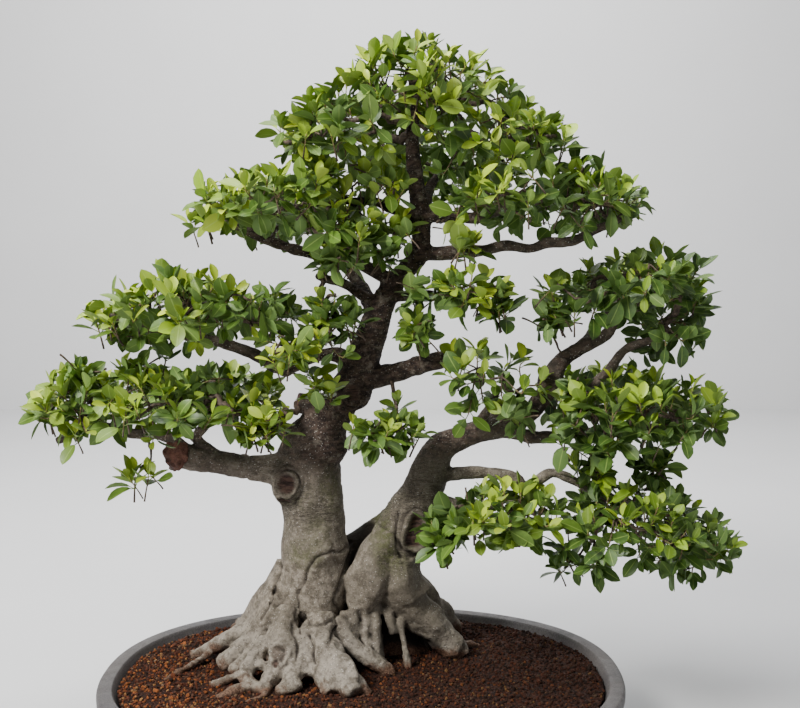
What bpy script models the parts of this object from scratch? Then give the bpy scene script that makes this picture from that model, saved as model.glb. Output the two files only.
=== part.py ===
"""Twin-trunk bonsai tree in a shallow oval stoneware pot.

Metres, +Z up. The origin is on the surface the pot stands on, under the middle of the
whole object. The crown's width runs along X and the front of the tree faces -Y. Tree
points are given from the middle of the soil surface, which is also the pot's middle.
"""

import math

import bmesh
import bpy
from mathutils import Vector, noise

# Pot
POT_LENGTH = 0.690  # outside of the rim, along X
POT_WIDTH = 0.540  # outside of the rim, along Y
POT_HEIGHT = 0.100  # from the floor to the top of the rim
POT_SQUARENESS = 2.3  # 2 is an ellipse
POT_TAPER = 0.046  # how far the foot of the wall is inside the rim's outside
RIM_WIDTH = 0.021
RIM_DEPTH = 0.016  # height of the lip
RIM_ROUND = 0.004
WALL = 0.012
WALL_BEND = 0.010  # height of the bend from the floor into the wall
FLOOR_THICKNESS = 0.011
FOOT_HEIGHT = 0.012
FOOT_LENGTH = 0.090
FOOT_WIDTH = 0.026
FOOT_ANGLE = math.radians(40)  # where each foot is, from the pot's length
DRAIN_RADIUS = 0.016
DRAIN_SPACING = 0.300  # between the two drain holes
POT_X = -0.0288  # the pot's middle, from the origin
POT_Y = -0.0252

# Drain screens and the wire clips that hold them
SCREEN_SIDE = 0.052
SCREEN_THICKNESS = 0.0012
SCREEN_MESH = 5  # openings along a side
SCREEN_BAR = 0.0030
WIRE_RADIUS = 0.0010
WIRE_HOOK = 0.008  # how far a leg's end reaches past the hole, under the pot
FIT_GAP = 0.0003  # between pieces that touch

# Soil
SOIL_BELOW_RIM = 0.006
SOIL_MOUND = 0.006  # how much it rises towards the tree
ROOT_GAP = 0.0035  # between the soil and the roots

# Tree
TREE_SCALE = 1.0
BURY_DEPTH = 0.071  # the depth below 0 that reaches the pot's floor
ROOT_RISE = 0.060  # below this height the roots spread with the pot
ROOT_PLAN_LENGTH = 0.648  # the inside of the rim that the roots' points were drawn for
ROOT_PLAN_WIDTH = 0.498
WOOD_VOXEL = 0.0042
WOOD_RATIO = 0.062  # share of the fine wood surface's triangles that is kept
BRANCH_GAP = 0.0055  # round each branch, inside the foliage
FOLIAGE_GAP = 0.045  # between neighbouring foliage masses, as a share of their size
FOLIAGE_LUMPS = 0.09

RIM_TOP = POT_HEIGHT
SOIL_TOP = POT_HEIGHT - SOIL_BELOW_RIM
POT_FLOOR = FOOT_HEIGHT + FLOOR_THICKNESS
RING_POINTS = 64


def clear_scene():
    for obj in list(bpy.data.objects):
        bpy.data.objects.remove(obj, do_unlink=True)


def material(name, colour, roughness, metallic=0.0):
    made = bpy.data.materials.new(name)
    made.use_nodes = True
    shader = made.node_tree.nodes["Principled BSDF"]
    shader.inputs["Base Color"].default_value = (*colour, 1.0)
    shader.inputs["Roughness"].default_value = roughness
    shader.inputs["Metallic"].default_value = metallic
    return made


def add(name, bm, mat=None, helper=False, smooth=True):
    mesh = bpy.data.meshes.new(name)
    bmesh.ops.recalc_face_normals(bm, faces=bm.faces)
    bm.to_mesh(mesh)
    bm.free()
    obj = bpy.data.objects.new(name, mesh)
    bpy.context.scene.collection.objects.link(obj)
    if smooth:
        mesh.shade_smooth()
        mesh.set_sharp_from_angle(angle=math.radians(40))
    if mat is not None:
        mesh.materials.append(mat)
    if helper:
        obj.hide_render = True
        obj.display_type = "WIRE"
    return obj


def boolean(obj, operation, other, overlapping=False):
    mod = obj.modifiers.new(operation.title(), "BOOLEAN")
    mod.operation = operation
    mod.solver = "EXACT"
    mod.use_self = overlapping
    mod.object = other
    return mod


# ---------------------------------------------------------------- pot


def oval_point(half_x, half_y, angle, z=0.0):
    """The point of a superellipse at this angle."""
    c, s = math.cos(angle), math.sin(angle)
    r = (abs(c) ** POT_SQUARENESS + abs(s) ** POT_SQUARENESS) ** (-1 / POT_SQUARENESS)
    return Vector((half_x * c * r, half_y * s * r, z))


def oval(half_x, half_y, z, points=RING_POINTS):
    return [oval_point(half_x, half_y, 2 * math.pi * i / points, z) for i in range(points)]


def loft(bm, rings, centre_first, centre_last):
    """Bridges rings of points, closed at both ends by a fan to a middle point."""
    made = [[bm.verts.new(p) for p in ring] for ring in rings]
    n = len(made[0])
    for lower, upper in zip(made, made[1:]):
        for i in range(n):
            j = (i + 1) % n
            bm.faces.new((lower[i], lower[j], upper[j], upper[i]))
    for ring, centre in ((made[0], centre_first), (made[-1], centre_last)):
        middle = bm.verts.new(centre)
        for i in range(n):
            bm.faces.new((ring[i], ring[(i + 1) % n], middle))


def inset_oval(inset, z):
    return oval(POT_LENGTH / 2 - inset, POT_WIDTH / 2 - inset, z)


def pot_profile():
    """(inset from the rim's outside, height) from the underside round to the inner floor."""
    lip = RIM_WIDTH - WALL
    body = RIM_TOP - RIM_DEPTH - FOOT_HEIGHT
    outer = [
        (POT_TAPER + 0.012, FOOT_HEIGHT),
        (POT_TAPER, FOOT_HEIGHT + 0.004),
    ]
    for step in (0.25, 0.5, 0.75):
        swell = 0.006 * math.sin(math.pi * step)
        inset = POT_TAPER + (lip - POT_TAPER) * step - swell
        outer.append((inset, FOOT_HEIGHT + body * step))
    return outer + [
        (lip, RIM_TOP - RIM_DEPTH - 0.002),
        (RIM_ROUND * 0.6, RIM_TOP - RIM_DEPTH),
        (0.0, RIM_TOP - RIM_DEPTH + RIM_ROUND * 0.6),
        (0.0, RIM_TOP - RIM_ROUND),
        (RIM_ROUND * 0.3, RIM_TOP - RIM_ROUND * 0.3),
        (RIM_ROUND, RIM_TOP),
        (RIM_WIDTH - RIM_ROUND, RIM_TOP),
        (RIM_WIDTH - RIM_ROUND * 0.3, RIM_TOP - RIM_ROUND * 0.3),
        (RIM_WIDTH, RIM_TOP - RIM_ROUND),
        (POT_TAPER + WALL, POT_FLOOR + WALL_BEND),
        (POT_TAPER + WALL + 0.008, POT_FLOOR),
    ]


def make_pot(mat):
    bm = bmesh.new()
    profile = pot_profile()
    rings = [inset_oval(inset, z) for inset, z in profile]
    loft(bm, rings, (0, 0, FOOT_HEIGHT), (0, 0, POT_FLOOR))
    pot = add("pot", bm, mat)

    feet = bmesh.new()
    for sx in (-1, 1):
        for sy in (-1, 1):
            foot_block(feet, sx, sy)
    boolean(pot, "UNION", add("foot_blocks", feet, helper=True, smooth=False))

    drill = bmesh.new()
    for side in (-1, 1):
        turned = bmesh.ops.create_cone(
            drill, cap_ends=True, segments=24, depth=0.08,
            radius1=DRAIN_RADIUS, radius2=DRAIN_RADIUS,
        )
        bmesh.ops.translate(
            drill, verts=turned["verts"], vec=(side * DRAIN_SPACING / 2, 0, POT_FLOOR)
        )
    boolean(pot, "DIFFERENCE", add("drain_drill", drill, helper=True, smooth=False))
    return pot


def foot_block(bm, sx, sy):
    """A low foot that narrows downwards and follows the oval wall above it."""
    inset = POT_TAPER + 0.012 + FOOT_WIDTH * 0.6
    half_x, half_y = POT_LENGTH / 2 - inset, POT_WIDTH / 2 - inset
    middle = oval_point(half_x, half_y, FOOT_ANGLE)
    along = oval_point(half_x, half_y, FOOT_ANGLE + 0.05) - middle
    along.normalize()
    across = Vector((-along.y, along.x, 0))
    turned = bmesh.ops.create_cube(bm, size=1.0)
    for vert in turned["verts"]:
        narrow = 0.86 if vert.co.z < 0 else 1.0
        spot = middle + along * (vert.co.x * FOOT_LENGTH * narrow)
        spot += across * (vert.co.y * FOOT_WIDTH * narrow)
        top = FOOT_HEIGHT + 0.004
        vert.co = (spot.x * sx, spot.y * sy, top if vert.co.z > 0 else 0.0)
    if sx * sy < 0:
        faces = {face for vert in turned["verts"] for face in vert.link_faces}
        bmesh.ops.reverse_faces(bm, faces=list(faces))


def make_screen(name, x, mat):
    """A square of plastic netting that lies over a drain hole."""
    bm = bmesh.new()
    z0 = POT_FLOOR + FIT_GAP
    pitch = (SCREEN_SIDE - SCREEN_BAR) / SCREEN_MESH
    lines = []
    for i in range(SCREEN_MESH + 1):
        start = -SCREEN_SIDE / 2 + i * pitch
        lines += [start, start + SCREEN_BAR]
    verts = {}
    for i, px in enumerate(lines):
        for j, py in enumerate(lines):
            for k in (0, 1):
                verts[i, j, k] = bm.verts.new((px, py, z0 + k * SCREEN_THICKNESS))
    last = len(lines) - 1

    def solid(i, j):
        return 0 <= i < last and 0 <= j < last and (i % 2 == 0 or j % 2 == 0)

    for i in range(last):
        for j in range(last):
            if not solid(i, j):
                continue
            for k in (0, 1):
                bm.faces.new([verts[a, b, k] for a, b in
                              ((i, j), (i + 1, j), (i + 1, j + 1), (i, j + 1))])
            for di, dj, a, b in ((-1, 0, (i, j), (i, j + 1)), (1, 0, (i + 1, j), (i + 1, j + 1)),
                                 (0, -1, (i, j), (i + 1, j)), (0, 1, (i, j + 1), (i + 1, j + 1))):
                if not solid(i + di, j + dj):
                    bm.faces.new([verts[(*a, 0)], verts[(*b, 0)], verts[(*b, 1)], verts[(*a, 1)]])
    loose = [v for v in bm.verts if not v.link_faces]
    bmesh.ops.delete(bm, geom=loose, context="VERTS")
    obj = add(name, bm, mat, smooth=False)
    obj.location = (x, 0, 0)
    return obj


def tube(bm, points, radii, sides, wobble=0.0, seed=0.0):
    """A closed tube round a line of points, with its own radius at each of them."""
    rings = []
    side_way = None
    for i, point in enumerate(points):
        ahead = points[min(i + 1, len(points) - 1)] - points[max(i - 1, 0)]
        ahead.normalize()
        if side_way is None:
            side_way = ahead.orthogonal().normalized()
        side_way = (side_way - ahead * side_way.dot(ahead)).normalized()
        other = ahead.cross(side_way)
        ring = []
        for j in range(sides):
            angle = 2 * math.pi * j / sides
            way = side_way * math.cos(angle) + other * math.sin(angle)
            r = radii[i]
            if wobble:
                r *= 1 + wobble * noise.noise(point * 22 + way * 1.3 + Vector((seed, 0, 0)))
            ring.append(point + way * r)
        rings.append(ring)
    loft(bm, rings, points[0], points[-1])


def smooth_line(knots, step):
    """Points about a step apart on a smooth curve through the knots, each x, y, z, radius."""
    found = []
    n = len(knots)
    for i in range(n - 1):
        a, b, c, d = (knots[max(i - 1, 0)], knots[i], knots[i + 1], knots[min(i + 2, n - 1)])
        length = math.dist(b[:3], c[:3])
        count = max(1, round(length / step))
        for k in range(count):
            t = k / count
            found.append([
                0.5 * (2 * q + (r - p) * t + (2 * p - 5 * q + 4 * r - s) * t * t
                       + (3 * q - p - 3 * r + s) * t * t * t)
                for p, q, r, s in zip(a, b, c, d)
            ])
    found.append(list(knots[-1]))
    return found


def make_wire_clip(name, x, mat):
    """A bent wire over a screen: a leg through each side of the hole, hooked under the pot."""
    top = POT_FLOOR + 2 * FIT_GAP + SCREEN_THICKNESS + WIRE_RADIUS
    under = FOOT_HEIGHT - FIT_GAP - WIRE_RADIUS
    pitch = (SCREEN_SIDE - SCREEN_BAR) / SCREEN_MESH
    leg = pitch * math.floor((DRAIN_RADIUS - 2 * WIRE_RADIUS) / pitch)
    end = DRAIN_RADIUS + WIRE_HOOK
    bend = 2.4 * WIRE_RADIUS
    route = [(-end, under), (-leg - bend, under), (-leg - bend * 0.3, under + bend * 0.3)]
    route += [(-leg, under + bend), (-leg, top - bend)]
    route += [(-leg + bend * 0.3, top - bend * 0.3), (-leg + bend, top)]
    route += [(-px, pz) for px, pz in reversed(route)]
    points = [Vector((px, 0, pz)) for px, pz in route]
    bm = bmesh.new()
    tube(bm, points, [WIRE_RADIUS] * len(points), 8)
    obj = add(name, bm, mat)
    obj.location = (x, 0, 0)
    return obj


# ---------------------------------------------------------------- tree

# Each line is knots of x, y, z and radius, from the middle of the soil surface.
LEFT_TRUNK = [
    (-0.082, 0.066, -0.034, 0.060), (-0.080, 0.066, 0.030, 0.056),
    (-0.071, 0.064, 0.092, 0.047), (-0.068, 0.062, 0.155, 0.0435),
    (-0.069, 0.060, 0.206, 0.0430), (-0.075, 0.058, 0.256, 0.0430),
    (-0.073, 0.058, 0.296, 0.0400), (-0.050, 0.060, 0.334, 0.0305),
    (-0.027, 0.062, 0.364, 0.0240), (-0.010, 0.064, 0.404, 0.0205),
    (0.006, 0.066, 0.446, 0.0175), (0.022, 0.066, 0.488, 0.0140),
    (0.044, 0.064, 0.524, 0.0145), (0.076, 0.060, 0.560, 0.0135),
    (0.078, 0.056, 0.608, 0.0125), (0.071, 0.052, 0.653, 0.0115),
    (0.066, 0.050, 0.706, 0.0095), (0.072, 0.052, 0.760, 0.0070),
]
RIGHT_TRUNK = [
    (0.020, 0.076, -0.034, 0.052), (0.022, 0.076, 0.030, 0.047),
    (0.026, 0.074, 0.086, 0.0405), (0.033, 0.072, 0.126, 0.0375),
    (0.047, 0.070, 0.166, 0.0355), (0.076, 0.068, 0.221, 0.0320),
    (0.090, 0.066, 0.262, 0.0270), (0.108, 0.064, 0.296, 0.0205),
    (0.145, 0.060, 0.314, 0.0150), (0.192, 0.056, 0.326, 0.0145),
    (0.222, 0.054, 0.342, 0.0135), (0.247, 0.052, 0.370, 0.0130),
    (0.255, 0.052, 0.391, 0.0145), (0.268, 0.052, 0.416, 0.0115),
    (0.300, 0.054, 0.436, 0.0100), (0.330, 0.056, 0.452, 0.0090),
    (0.343, 0.058, 0.478, 0.0080), (0.378, 0.060, 0.490, 0.0060),
]
BRANCHES = [
    # low on the left, with a sawn end
    [(-0.090, 0.056, 0.266, 0.0260), (-0.125, 0.052, 0.268, 0.0185),
     (-0.165, 0.047, 0.272, 0.0160), (-0.210, 0.043, 0.282, 0.0160),
     (-0.258, 0.040, 0.288, 0.0170)],
    [(-0.228, 0.043, 0.286, 0.0090), (-0.264, 0.036, 0.313, 0.0080),
     (-0.313, 0.030, 0.319, 0.0070), (-0.352, 0.026, 0.329, 0.0060),
     (-0.408, 0.020, 0.312, 0.0050)],
    [(-0.205, 0.044, 0.290, 0.0085), (-0.226, 0.050, 0.314, 0.0070),
     (-0.196, 0.060, 0.342, 0.0055)],
    [(-0.170, 0.047, 0.272, 0.0080), (-0.215, 0.086, 0.290, 0.0065),
     (-0.270, 0.122, 0.318, 0.0055)],
    # middle of the left side
    [(-0.010, 0.064, 0.412, 0.0120), (-0.042, 0.058, 0.424, 0.0095),
     (-0.073, 0.052, 0.420, 0.0090), (-0.108, 0.048, 0.404, 0.0085),
     (-0.150, 0.044, 0.427, 0.0080), (-0.197, 0.042, 0.443, 0.0070),
     (-0.292, 0.040, 0.462, 0.0060), (-0.345, 0.040, 0.478, 0.0050)],
    [(-0.086, 0.050, 0.412, 0.0085), (-0.094, 0.046, 0.442, 0.0080)],
    [(-0.240, 0.041, 0.452, 0.0060), (-0.255, 0.090, 0.462, 0.0050)],
    # the sawn stub on the left trunk
    [(-0.040, 0.060, 0.346, 0.0180), (-0.089, 0.054, 0.359, 0.0150)],
    # the sawn branch between the trunks
    [(0.000, 0.062, 0.388, 0.0150), (0.052, 0.056, 0.402, 0.0130),
     (0.112, 0.050, 0.419, 0.0120)],
    [(0.100, 0.050, 0.418, 0.0060), (0.134, 0.046, 0.438, 0.0050)],
    # upper left
    [(0.040, 0.064, 0.522, 0.0095), (-0.011, 0.056, 0.552, 0.0080),
     (-0.076, 0.048, 0.562, 0.0075), (-0.112, 0.044, 0.572, 0.0065),
     (-0.140, 0.042, 0.584, 0.0060), (-0.196, 0.040, 0.608, 0.0050)],
    [(0.020, 0.066, 0.492, 0.0080), (-0.020, 0.052, 0.514, 0.0065),
     (-0.060, 0.030, 0.532, 0.0050)],
    [(0.076, 0.056, 0.604, 0.0080), (0.024, 0.048, 0.628, 0.0065),
     (-0.016, 0.040, 0.630, 0.0055), (-0.060, 0.034, 0.650, 0.0050)],
    # upper right
    [(0.078, 0.054, 0.612, 0.0090), (0.146, 0.048, 0.608, 0.0080),
     (0.186, 0.044, 0.619, 0.0070), (0.243, 0.040, 0.632, 0.0055)],
    [(0.074, 0.060, 0.560, 0.0100), (0.146, 0.050, 0.564, 0.0080),
     (0.186, 0.046, 0.571, 0.0075), (0.223, 0.044, 0.566, 0.0070),
     (0.245, 0.042, 0.576, 0.0070), (0.282, 0.040, 0.577, 0.0065),
     (0.315, 0.038, 0.595, 0.0055), (0.342, 0.038, 0.606, 0.0050)],
    [(0.030, 0.066, 0.500, 0.0070), (0.090, 0.052, 0.506, 0.0055),
     (0.146, 0.044, 0.498, 0.0050), (0.180, 0.040, 0.516, 0.0048)],
    # right trunk: low branches
    [(0.180, 0.056, 0.324, 0.0110), (0.214, 0.050, 0.316, 0.0090),
     (0.241, 0.046, 0.312, 0.0085), (0.288, 0.042, 0.318, 0.0075),
     (0.378, 0.040, 0.326, 0.0060), (0.440, 0.040, 0.334, 0.0050)],
    [(0.086, 0.066, 0.252, 0.0120), (0.140, 0.056, 0.262, 0.0085),
     (0.200, 0.048, 0.259, 0.0075), (0.222, 0.044, 0.244, 0.0070),
     (0.238, 0.042, 0.254, 0.0070), (0.266, 0.040, 0.264, 0.0065),
     (0.330, 0.038, 0.232, 0.0060), (0.410, 0.038, 0.208, 0.0050)],
    [(0.072, 0.066, 0.222, 0.0110), (0.110, 0.050, 0.226, 0.0080),
     (0.146, 0.036, 0.216, 0.0065), (0.196, 0.022, 0.232, 0.0060),
     (0.232, 0.012, 0.230, 0.0050)],
    [(0.252, 0.052, 0.380, 0.0080), (0.300, 0.044, 0.374, 0.0070),
     (0.352, 0.040, 0.430, 0.0060), (0.400, 0.038, 0.450, 0.0050)],
    [(0.145, 0.060, 0.314, 0.0080), (0.170, 0.052, 0.352, 0.0055),
     (0.184, 0.046, 0.382, 0.0048)],
    # towards the back
    [(0.018, 0.066, 0.480, 0.0110), (-0.026, 0.124, 0.546, 0.0085),
     (-0.076, 0.184, 0.594, 0.0065), (-0.120, 0.226, 0.616, 0.0050)],
    [(-0.074, 0.060, 0.286, 0.0150), (-0.124, 0.130, 0.318, 0.0095),
     (-0.174, 0.190, 0.336, 0.0065), (-0.216, 0.224, 0.348, 0.0050)],
    [(0.104, 0.064, 0.290, 0.0140), (0.150, 0.130, 0.310, 0.0095),
     (0.230, 0.192, 0.332, 0.0070), (0.326, 0.232, 0.348, 0.0050)],
    [(0.076, 0.056, 0.600, 0.0090), (0.088, 0.120, 0.644, 0.0070),
     (0.104, 0.186, 0.676, 0.0050)],
    [(0.300, 0.054, 0.436, 0.0085), (0.338, 0.120, 0.472, 0.0065),
     (0.378, 0.186, 0.498, 0.0050)],
]
ROOTS = [
    [(-0.090, 0.066, 0.110, 0.034), (-0.118, 0.066, 0.066, 0.036),
     (-0.152, 0.068, 0.032, 0.027), (-0.200, 0.076, 0.010, 0.018),
     (-0.246, 0.080, -0.007, 0.012)],
    [(-0.100, 0.052, 0.060, 0.036), (-0.150, 0.044, 0.024, 0.023),
     (-0.192, 0.038, 0.006, 0.015), (-0.222, 0.032, -0.012, 0.009)],
    [(-0.094, 0.046, 0.100, 0.032), (-0.114, 0.018, 0.060, 0.033),
     (-0.120, -0.010, 0.026, 0.028), (-0.104, -0.040, 0.004, 0.019),
     (-0.090, -0.064, -0.012, 0.012)],
    [(-0.058, 0.046, 0.096, 0.030), (-0.050, 0.010, 0.052, 0.030),
     (-0.026, -0.022, 0.020, 0.024), (-0.004, -0.052, 0.000, 0.017),
     (0.006, -0.072, -0.012, 0.011)],
    [(-0.072, 0.016, 0.050, 0.026), (-0.070, -0.020, 0.016, 0.022),
     (-0.056, -0.048, -0.006, 0.013)],
    [(0.010, 0.058, 0.072, 0.034), (0.022, 0.026, 0.030, 0.022),
     (0.038, 0.004, 0.000, 0.012)],
    [(0.030, 0.070, 0.066, 0.036), (0.080, 0.064, 0.034, 0.027),
     (0.120, 0.074, 0.010, 0.018), (0.152, 0.082, -0.008, 0.011)],
    [(0.030, 0.086, 0.052, 0.034), (0.084, 0.138, 0.020, 0.021),
     (0.122, 0.186, 0.002, 0.014), (0.142, 0.210, -0.012, 0.009)],
    [(0.050, 0.060, 0.040, 0.026), (0.078, 0.036, 0.012, 0.015),
     (0.100, 0.022, -0.008, 0.009)],
    [(-0.090, 0.090, 0.060, 0.034), (-0.150, 0.146, 0.020, 0.021),
     (-0.196, 0.186, -0.006, 0.011)],
    [(-0.030, 0.090, 0.064, 0.038), (-0.042, 0.156, 0.020, 0.024),
     (-0.050, 0.216, -0.006, 0.011)],
    # the web of wood behind the fork of the trunks
    [(-0.040, 0.086, 0.112, 0.034), (-0.012, 0.092, 0.150, 0.026),
     (0.014, 0.092, 0.172, 0.019), (0.046, 0.082, 0.196, 0.018)],
    # a thin surface root
    # the web of wood behind the fork of the trunks
    [(-0.040, 0.086, 0.112, 0.034), (-0.012, 0.092, 0.150, 0.026),
     (0.014, 0.092, 0.172, 0.019), (0.046, 0.082, 0.196, 0.018)],
    # a thin surface root
    [(-0.198, 0.048, 0.006, 0.0065), (-0.232, 0.020, 0.001, 0.0055),
     (-0.246, -0.012, -0.005, 0.0050)],
]
ROOT_CROWN = (-0.036, 0.064, 0.002, 0.122, 0.080, 0.052)  # middle and half sizes
ROOT_CROWN_UNDER = 0.6  # the underside's depth, as a share of the top's height

# Each foliage mass is ellipsoids of x, y, z, half sizes x, y, z, and a fineness.
FOLIAGE = {
    "foliage_crown": (3, [(0.078, 0.045, 0.762, 0.120, 0.126, 0.090),
                          (-0.032, 0.040, 0.722, 0.104, 0.110, 0.062),
                          (0.190, 0.045, 0.720, 0.100, 0.114, 0.064)]),
    "foliage_upper_left": (3, [(-0.100, 0.020, 0.634, 0.100, 0.116, 0.054),
                               (-0.160, 0.025, 0.620, 0.076, 0.098, 0.050),
                               (-0.012, 0.008, 0.592, 0.060, 0.070, 0.044)]),
    "foliage_upper_right": (3, [(0.196, 0.015, 0.640, 0.098, 0.112, 0.054),
                                (0.286, 0.025, 0.632, 0.102, 0.104, 0.058)]),
    "foliage_left_middle": (3, [(-0.240, 0.030, 0.490, 0.104, 0.106, 0.062),
                                (-0.300, 0.030, 0.474, 0.074, 0.088, 0.050),
                                (-0.150, 0.026, 0.492, 0.082, 0.086, 0.038)]),
    "foliage_inner_left": (2, [(-0.090, -0.026, 0.444, 0.068, 0.056, 0.036),
                               (-0.044, -0.020, 0.464, 0.050, 0.046, 0.040)]),
    "foliage_left_low": (3, [(-0.262, 0.010, 0.364, 0.112, 0.112, 0.054),
                             (-0.356, 0.015, 0.366, 0.090, 0.092, 0.052),
                             (-0.150, -0.006, 0.354, 0.070, 0.064, 0.040)]),
    "foliage_left_tuft": (2, [(-0.286, -0.008, 0.288, 0.040, 0.036, 0.026)]),
    "foliage_centre_low": (2, [(0.034, -0.010, 0.334, 0.068, 0.050, 0.042)]),
    "foliage_centre_right": (2, [(0.142, -0.002, 0.520, 0.070, 0.062, 0.042)]),
    "foliage_inner_right": (2, [(0.166, 0.010, 0.404, 0.080, 0.062, 0.054)]),
    "foliage_right_upper": (3, [(0.366, 0.040, 0.526, 0.108, 0.108, 0.052),
                                (0.408, 0.045, 0.468, 0.062, 0.078, 0.050),
                                (0.292, 0.030, 0.506, 0.052, 0.070, 0.034)]),
    "foliage_right_middle": (3, [(0.350, 0.020, 0.366, 0.122, 0.108, 0.046),
                                 (0.416, 0.030, 0.358, 0.080, 0.092, 0.046),
                                 (0.320, 0.000, 0.326, 0.084, 0.076, 0.034)]),
    "foliage_right_low": (3, [(0.364, 0.000, 0.208, 0.120, 0.116, 0.062),
                              (0.429, 0.010, 0.180, 0.080, 0.090, 0.060),
                              (0.292, -0.010, 0.168, 0.060, 0.066, 0.042)]),
    "foliage_right_inner_low": (3, [(0.192, -0.020, 0.224, 0.084, 0.086, 0.052),
                                    (0.120, -0.020, 0.216, 0.054, 0.056, 0.040)]),
    "foliage_back_crown": (3, [(0.110, 0.215, 0.690, 0.132, 0.084, 0.058)]),
    "foliage_back_left_upper": (3, [(-0.128, 0.226, 0.628, 0.112, 0.088, 0.054)]),
    "foliage_back_left_low": (3, [(-0.232, 0.226, 0.356, 0.116, 0.084, 0.046)]),
    "foliage_back_right_upper": (3, [(0.396, 0.226, 0.512, 0.106, 0.086, 0.052)]),
    "foliage_back_right_low": (3, [(0.364, 0.240, 0.356, 0.112, 0.082, 0.046)]),
}


def tree_point(x, y, z):
    """A tree point in its place over the pot.

    The roots spread with the inside of the pot and the rest with the tree, and what is
    under the soil's surface is buried to a share of the soil's depth.
    """
    low = max(0.0, min(1.0, 1 - z / ROOT_RISE))
    inner_x = (POT_LENGTH - 2 * RIM_WIDTH) / ROOT_PLAN_LENGTH
    inner_y = (POT_WIDTH - 2 * RIM_WIDTH) / ROOT_PLAN_WIDTH
    x *= TREE_SCALE + (inner_x - TREE_SCALE) * low
    y *= TREE_SCALE + (inner_y - TREE_SCALE) * low
    z *= (SOIL_TOP - POT_FLOOR) / BURY_DEPTH if z < 0 else TREE_SCALE
    return Vector((x, y, z + SOIL_TOP))


def tree_tubes(bm, lines, extra, sides, step, wobble):
    for number, knots in enumerate(lines):
        thick = max(k[3] for k in knots)
        line = smooth_line(knots, step + thick * 0.5)
        points = [tree_point(*p[:3]) for p in line]
        radii = [p[3] * TREE_SCALE + extra for p in line]
        if extra:
            for end, near in ((0, 1), (-1, -2)):
                points[end] = points[end] + (points[end] - points[near]).normalized() * extra
        tube(bm, points, radii, sides, wobble, number * 3.7)


def root_crown(bm, extra, detail):
    x, y, z, hx, hy, hz = ROOT_CROWN
    made = bmesh.ops.create_icosphere(bm, subdivisions=detail, radius=1.0)
    for vert in made["verts"]:
        way = vert.co.copy()
        lumpy = 1 + 0.10 * noise.noise(way * 2.6)
        tall = hz * (ROOT_CROWN_UNDER if way.z < 0 else 1.0)
        spot = [m + w * h * lumpy for m, w, h in zip((x, y, z), way, (hx, hy, tall))]
        vert.co = tree_point(*spot) + way * extra


def make_wood(mat):
    """Roots, both trunks and the main branches, grown as one piece."""
    bm = bmesh.new()
    tree_tubes(bm, [LEFT_TRUNK, RIGHT_TRUNK] + ROOTS, 0.0, 16, 0.016, 0.16)
    tree_tubes(bm, BRANCHES, 0.0, 10, 0.018, 0.10)
    root_crown(bm, 0.0, 4)
    wood = add("trunk_and_branches", bm, mat)
    fuse = wood.modifiers.new("Fuse", "REMESH")
    fuse.mode = "VOXEL"
    fuse.voxel_size = WOOD_VOXEL
    fuse.use_smooth_shade = True
    soften = wood.modifiers.new("Soften", "SMOOTH")
    soften.factor = 0.5
    soften.iterations = 2
    thin = wood.modifiers.new("Thin", "DECIMATE")
    thin.ratio = WOOD_RATIO
    return wood


def level(blobs, point):
    """1 on the surface of the ellipsoids, less inside them."""
    return min(
        math.sqrt(sum(((p - c) / h) ** 2 for p, c, h in zip(point, blob[:3], blob[3:])))
        for blob in blobs
    )


def make_foliage(name, detail, blobs, mat, cutter):
    """A closed lumpy mass round its branches, that stops short of the masses beside it."""
    others = [b for other, (_, b) in FOLIAGE.items() if other != name]
    middle = Vector(blobs[0][:3])
    if len(blobs) > 1:
        middle = sum((Vector(b[:3]) * b[3] for b in blobs), Vector()) / sum(b[3] for b in blobs)
    far = 2.2 * max(max(b[3:]) for b in blobs)
    bm = bmesh.new()
    made = bmesh.ops.create_icosphere(bm, subdivisions=detail, radius=1.0)
    for vert in made["verts"]:
        way = vert.co.normalized()
        lumps = 1 + FOLIAGE_LUMPS * noise.noise(way * 3.1 + middle * 9.0)
        distance = far
        while distance > 0.012:
            point = middle + way * distance
            own = level(blobs, point)
            if own <= lumps and all(
                own + FOLIAGE_GAP < level(other, point) for other in others
            ):
                break
            distance -= 0.002
        vert.co = tree_point(*(middle + way * distance))
    obj = add(name, bm, mat)
    boolean(obj, "DIFFERENCE", cutter, overlapping=True)
    return obj


def inner_wall_inset(z):
    """How far the pot's inner wall is inside the rim's outside at this height."""
    low, high = POT_FLOOR + WALL_BEND, RIM_TOP - RIM_ROUND
    if z < low:
        return POT_TAPER + WALL + 0.008 * (low - z) / WALL_BEND
    share = min(1.0, (z - low) / (high - low))
    return POT_TAPER + WALL + (RIM_WIDTH - POT_TAPER - WALL) * share


def make_soil(mat, cutter):
    """Fills the pot to just under its rim, and rises a little towards the tree."""
    bm = bmesh.new()
    floor = POT_FLOOR + FIT_GAP * 3 + SCREEN_THICKNESS + 2 * WIRE_RADIUS
    edge = SOIL_TOP - 0.003
    levels = [floor, POT_FLOOR + WALL_BEND, (POT_FLOOR + WALL_BEND + edge) / 2, edge]
    rings = [inset_oval(inner_wall_inset(z) + 2 * FIT_GAP, z) for z in levels]
    inset = inner_wall_inset(edge) + 0.005
    half_x, half_y = POT_LENGTH / 2 - inset, POT_WIDTH / 2 - inset
    for share in (1.0, 0.8, 0.6, 0.4, 0.2):
        rise = SOIL_MOUND * (1 - share ** 2)
        rings.append(oval(half_x * share, half_y * share, SOIL_TOP + rise))
    loft(bm, rings, (0, 0, floor), (0, 0, SOIL_TOP + SOIL_MOUND))
    soil = add("soil", bm, mat)
    boolean(soil, "DIFFERENCE", cutter, overlapping=True)
    return soil


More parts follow.
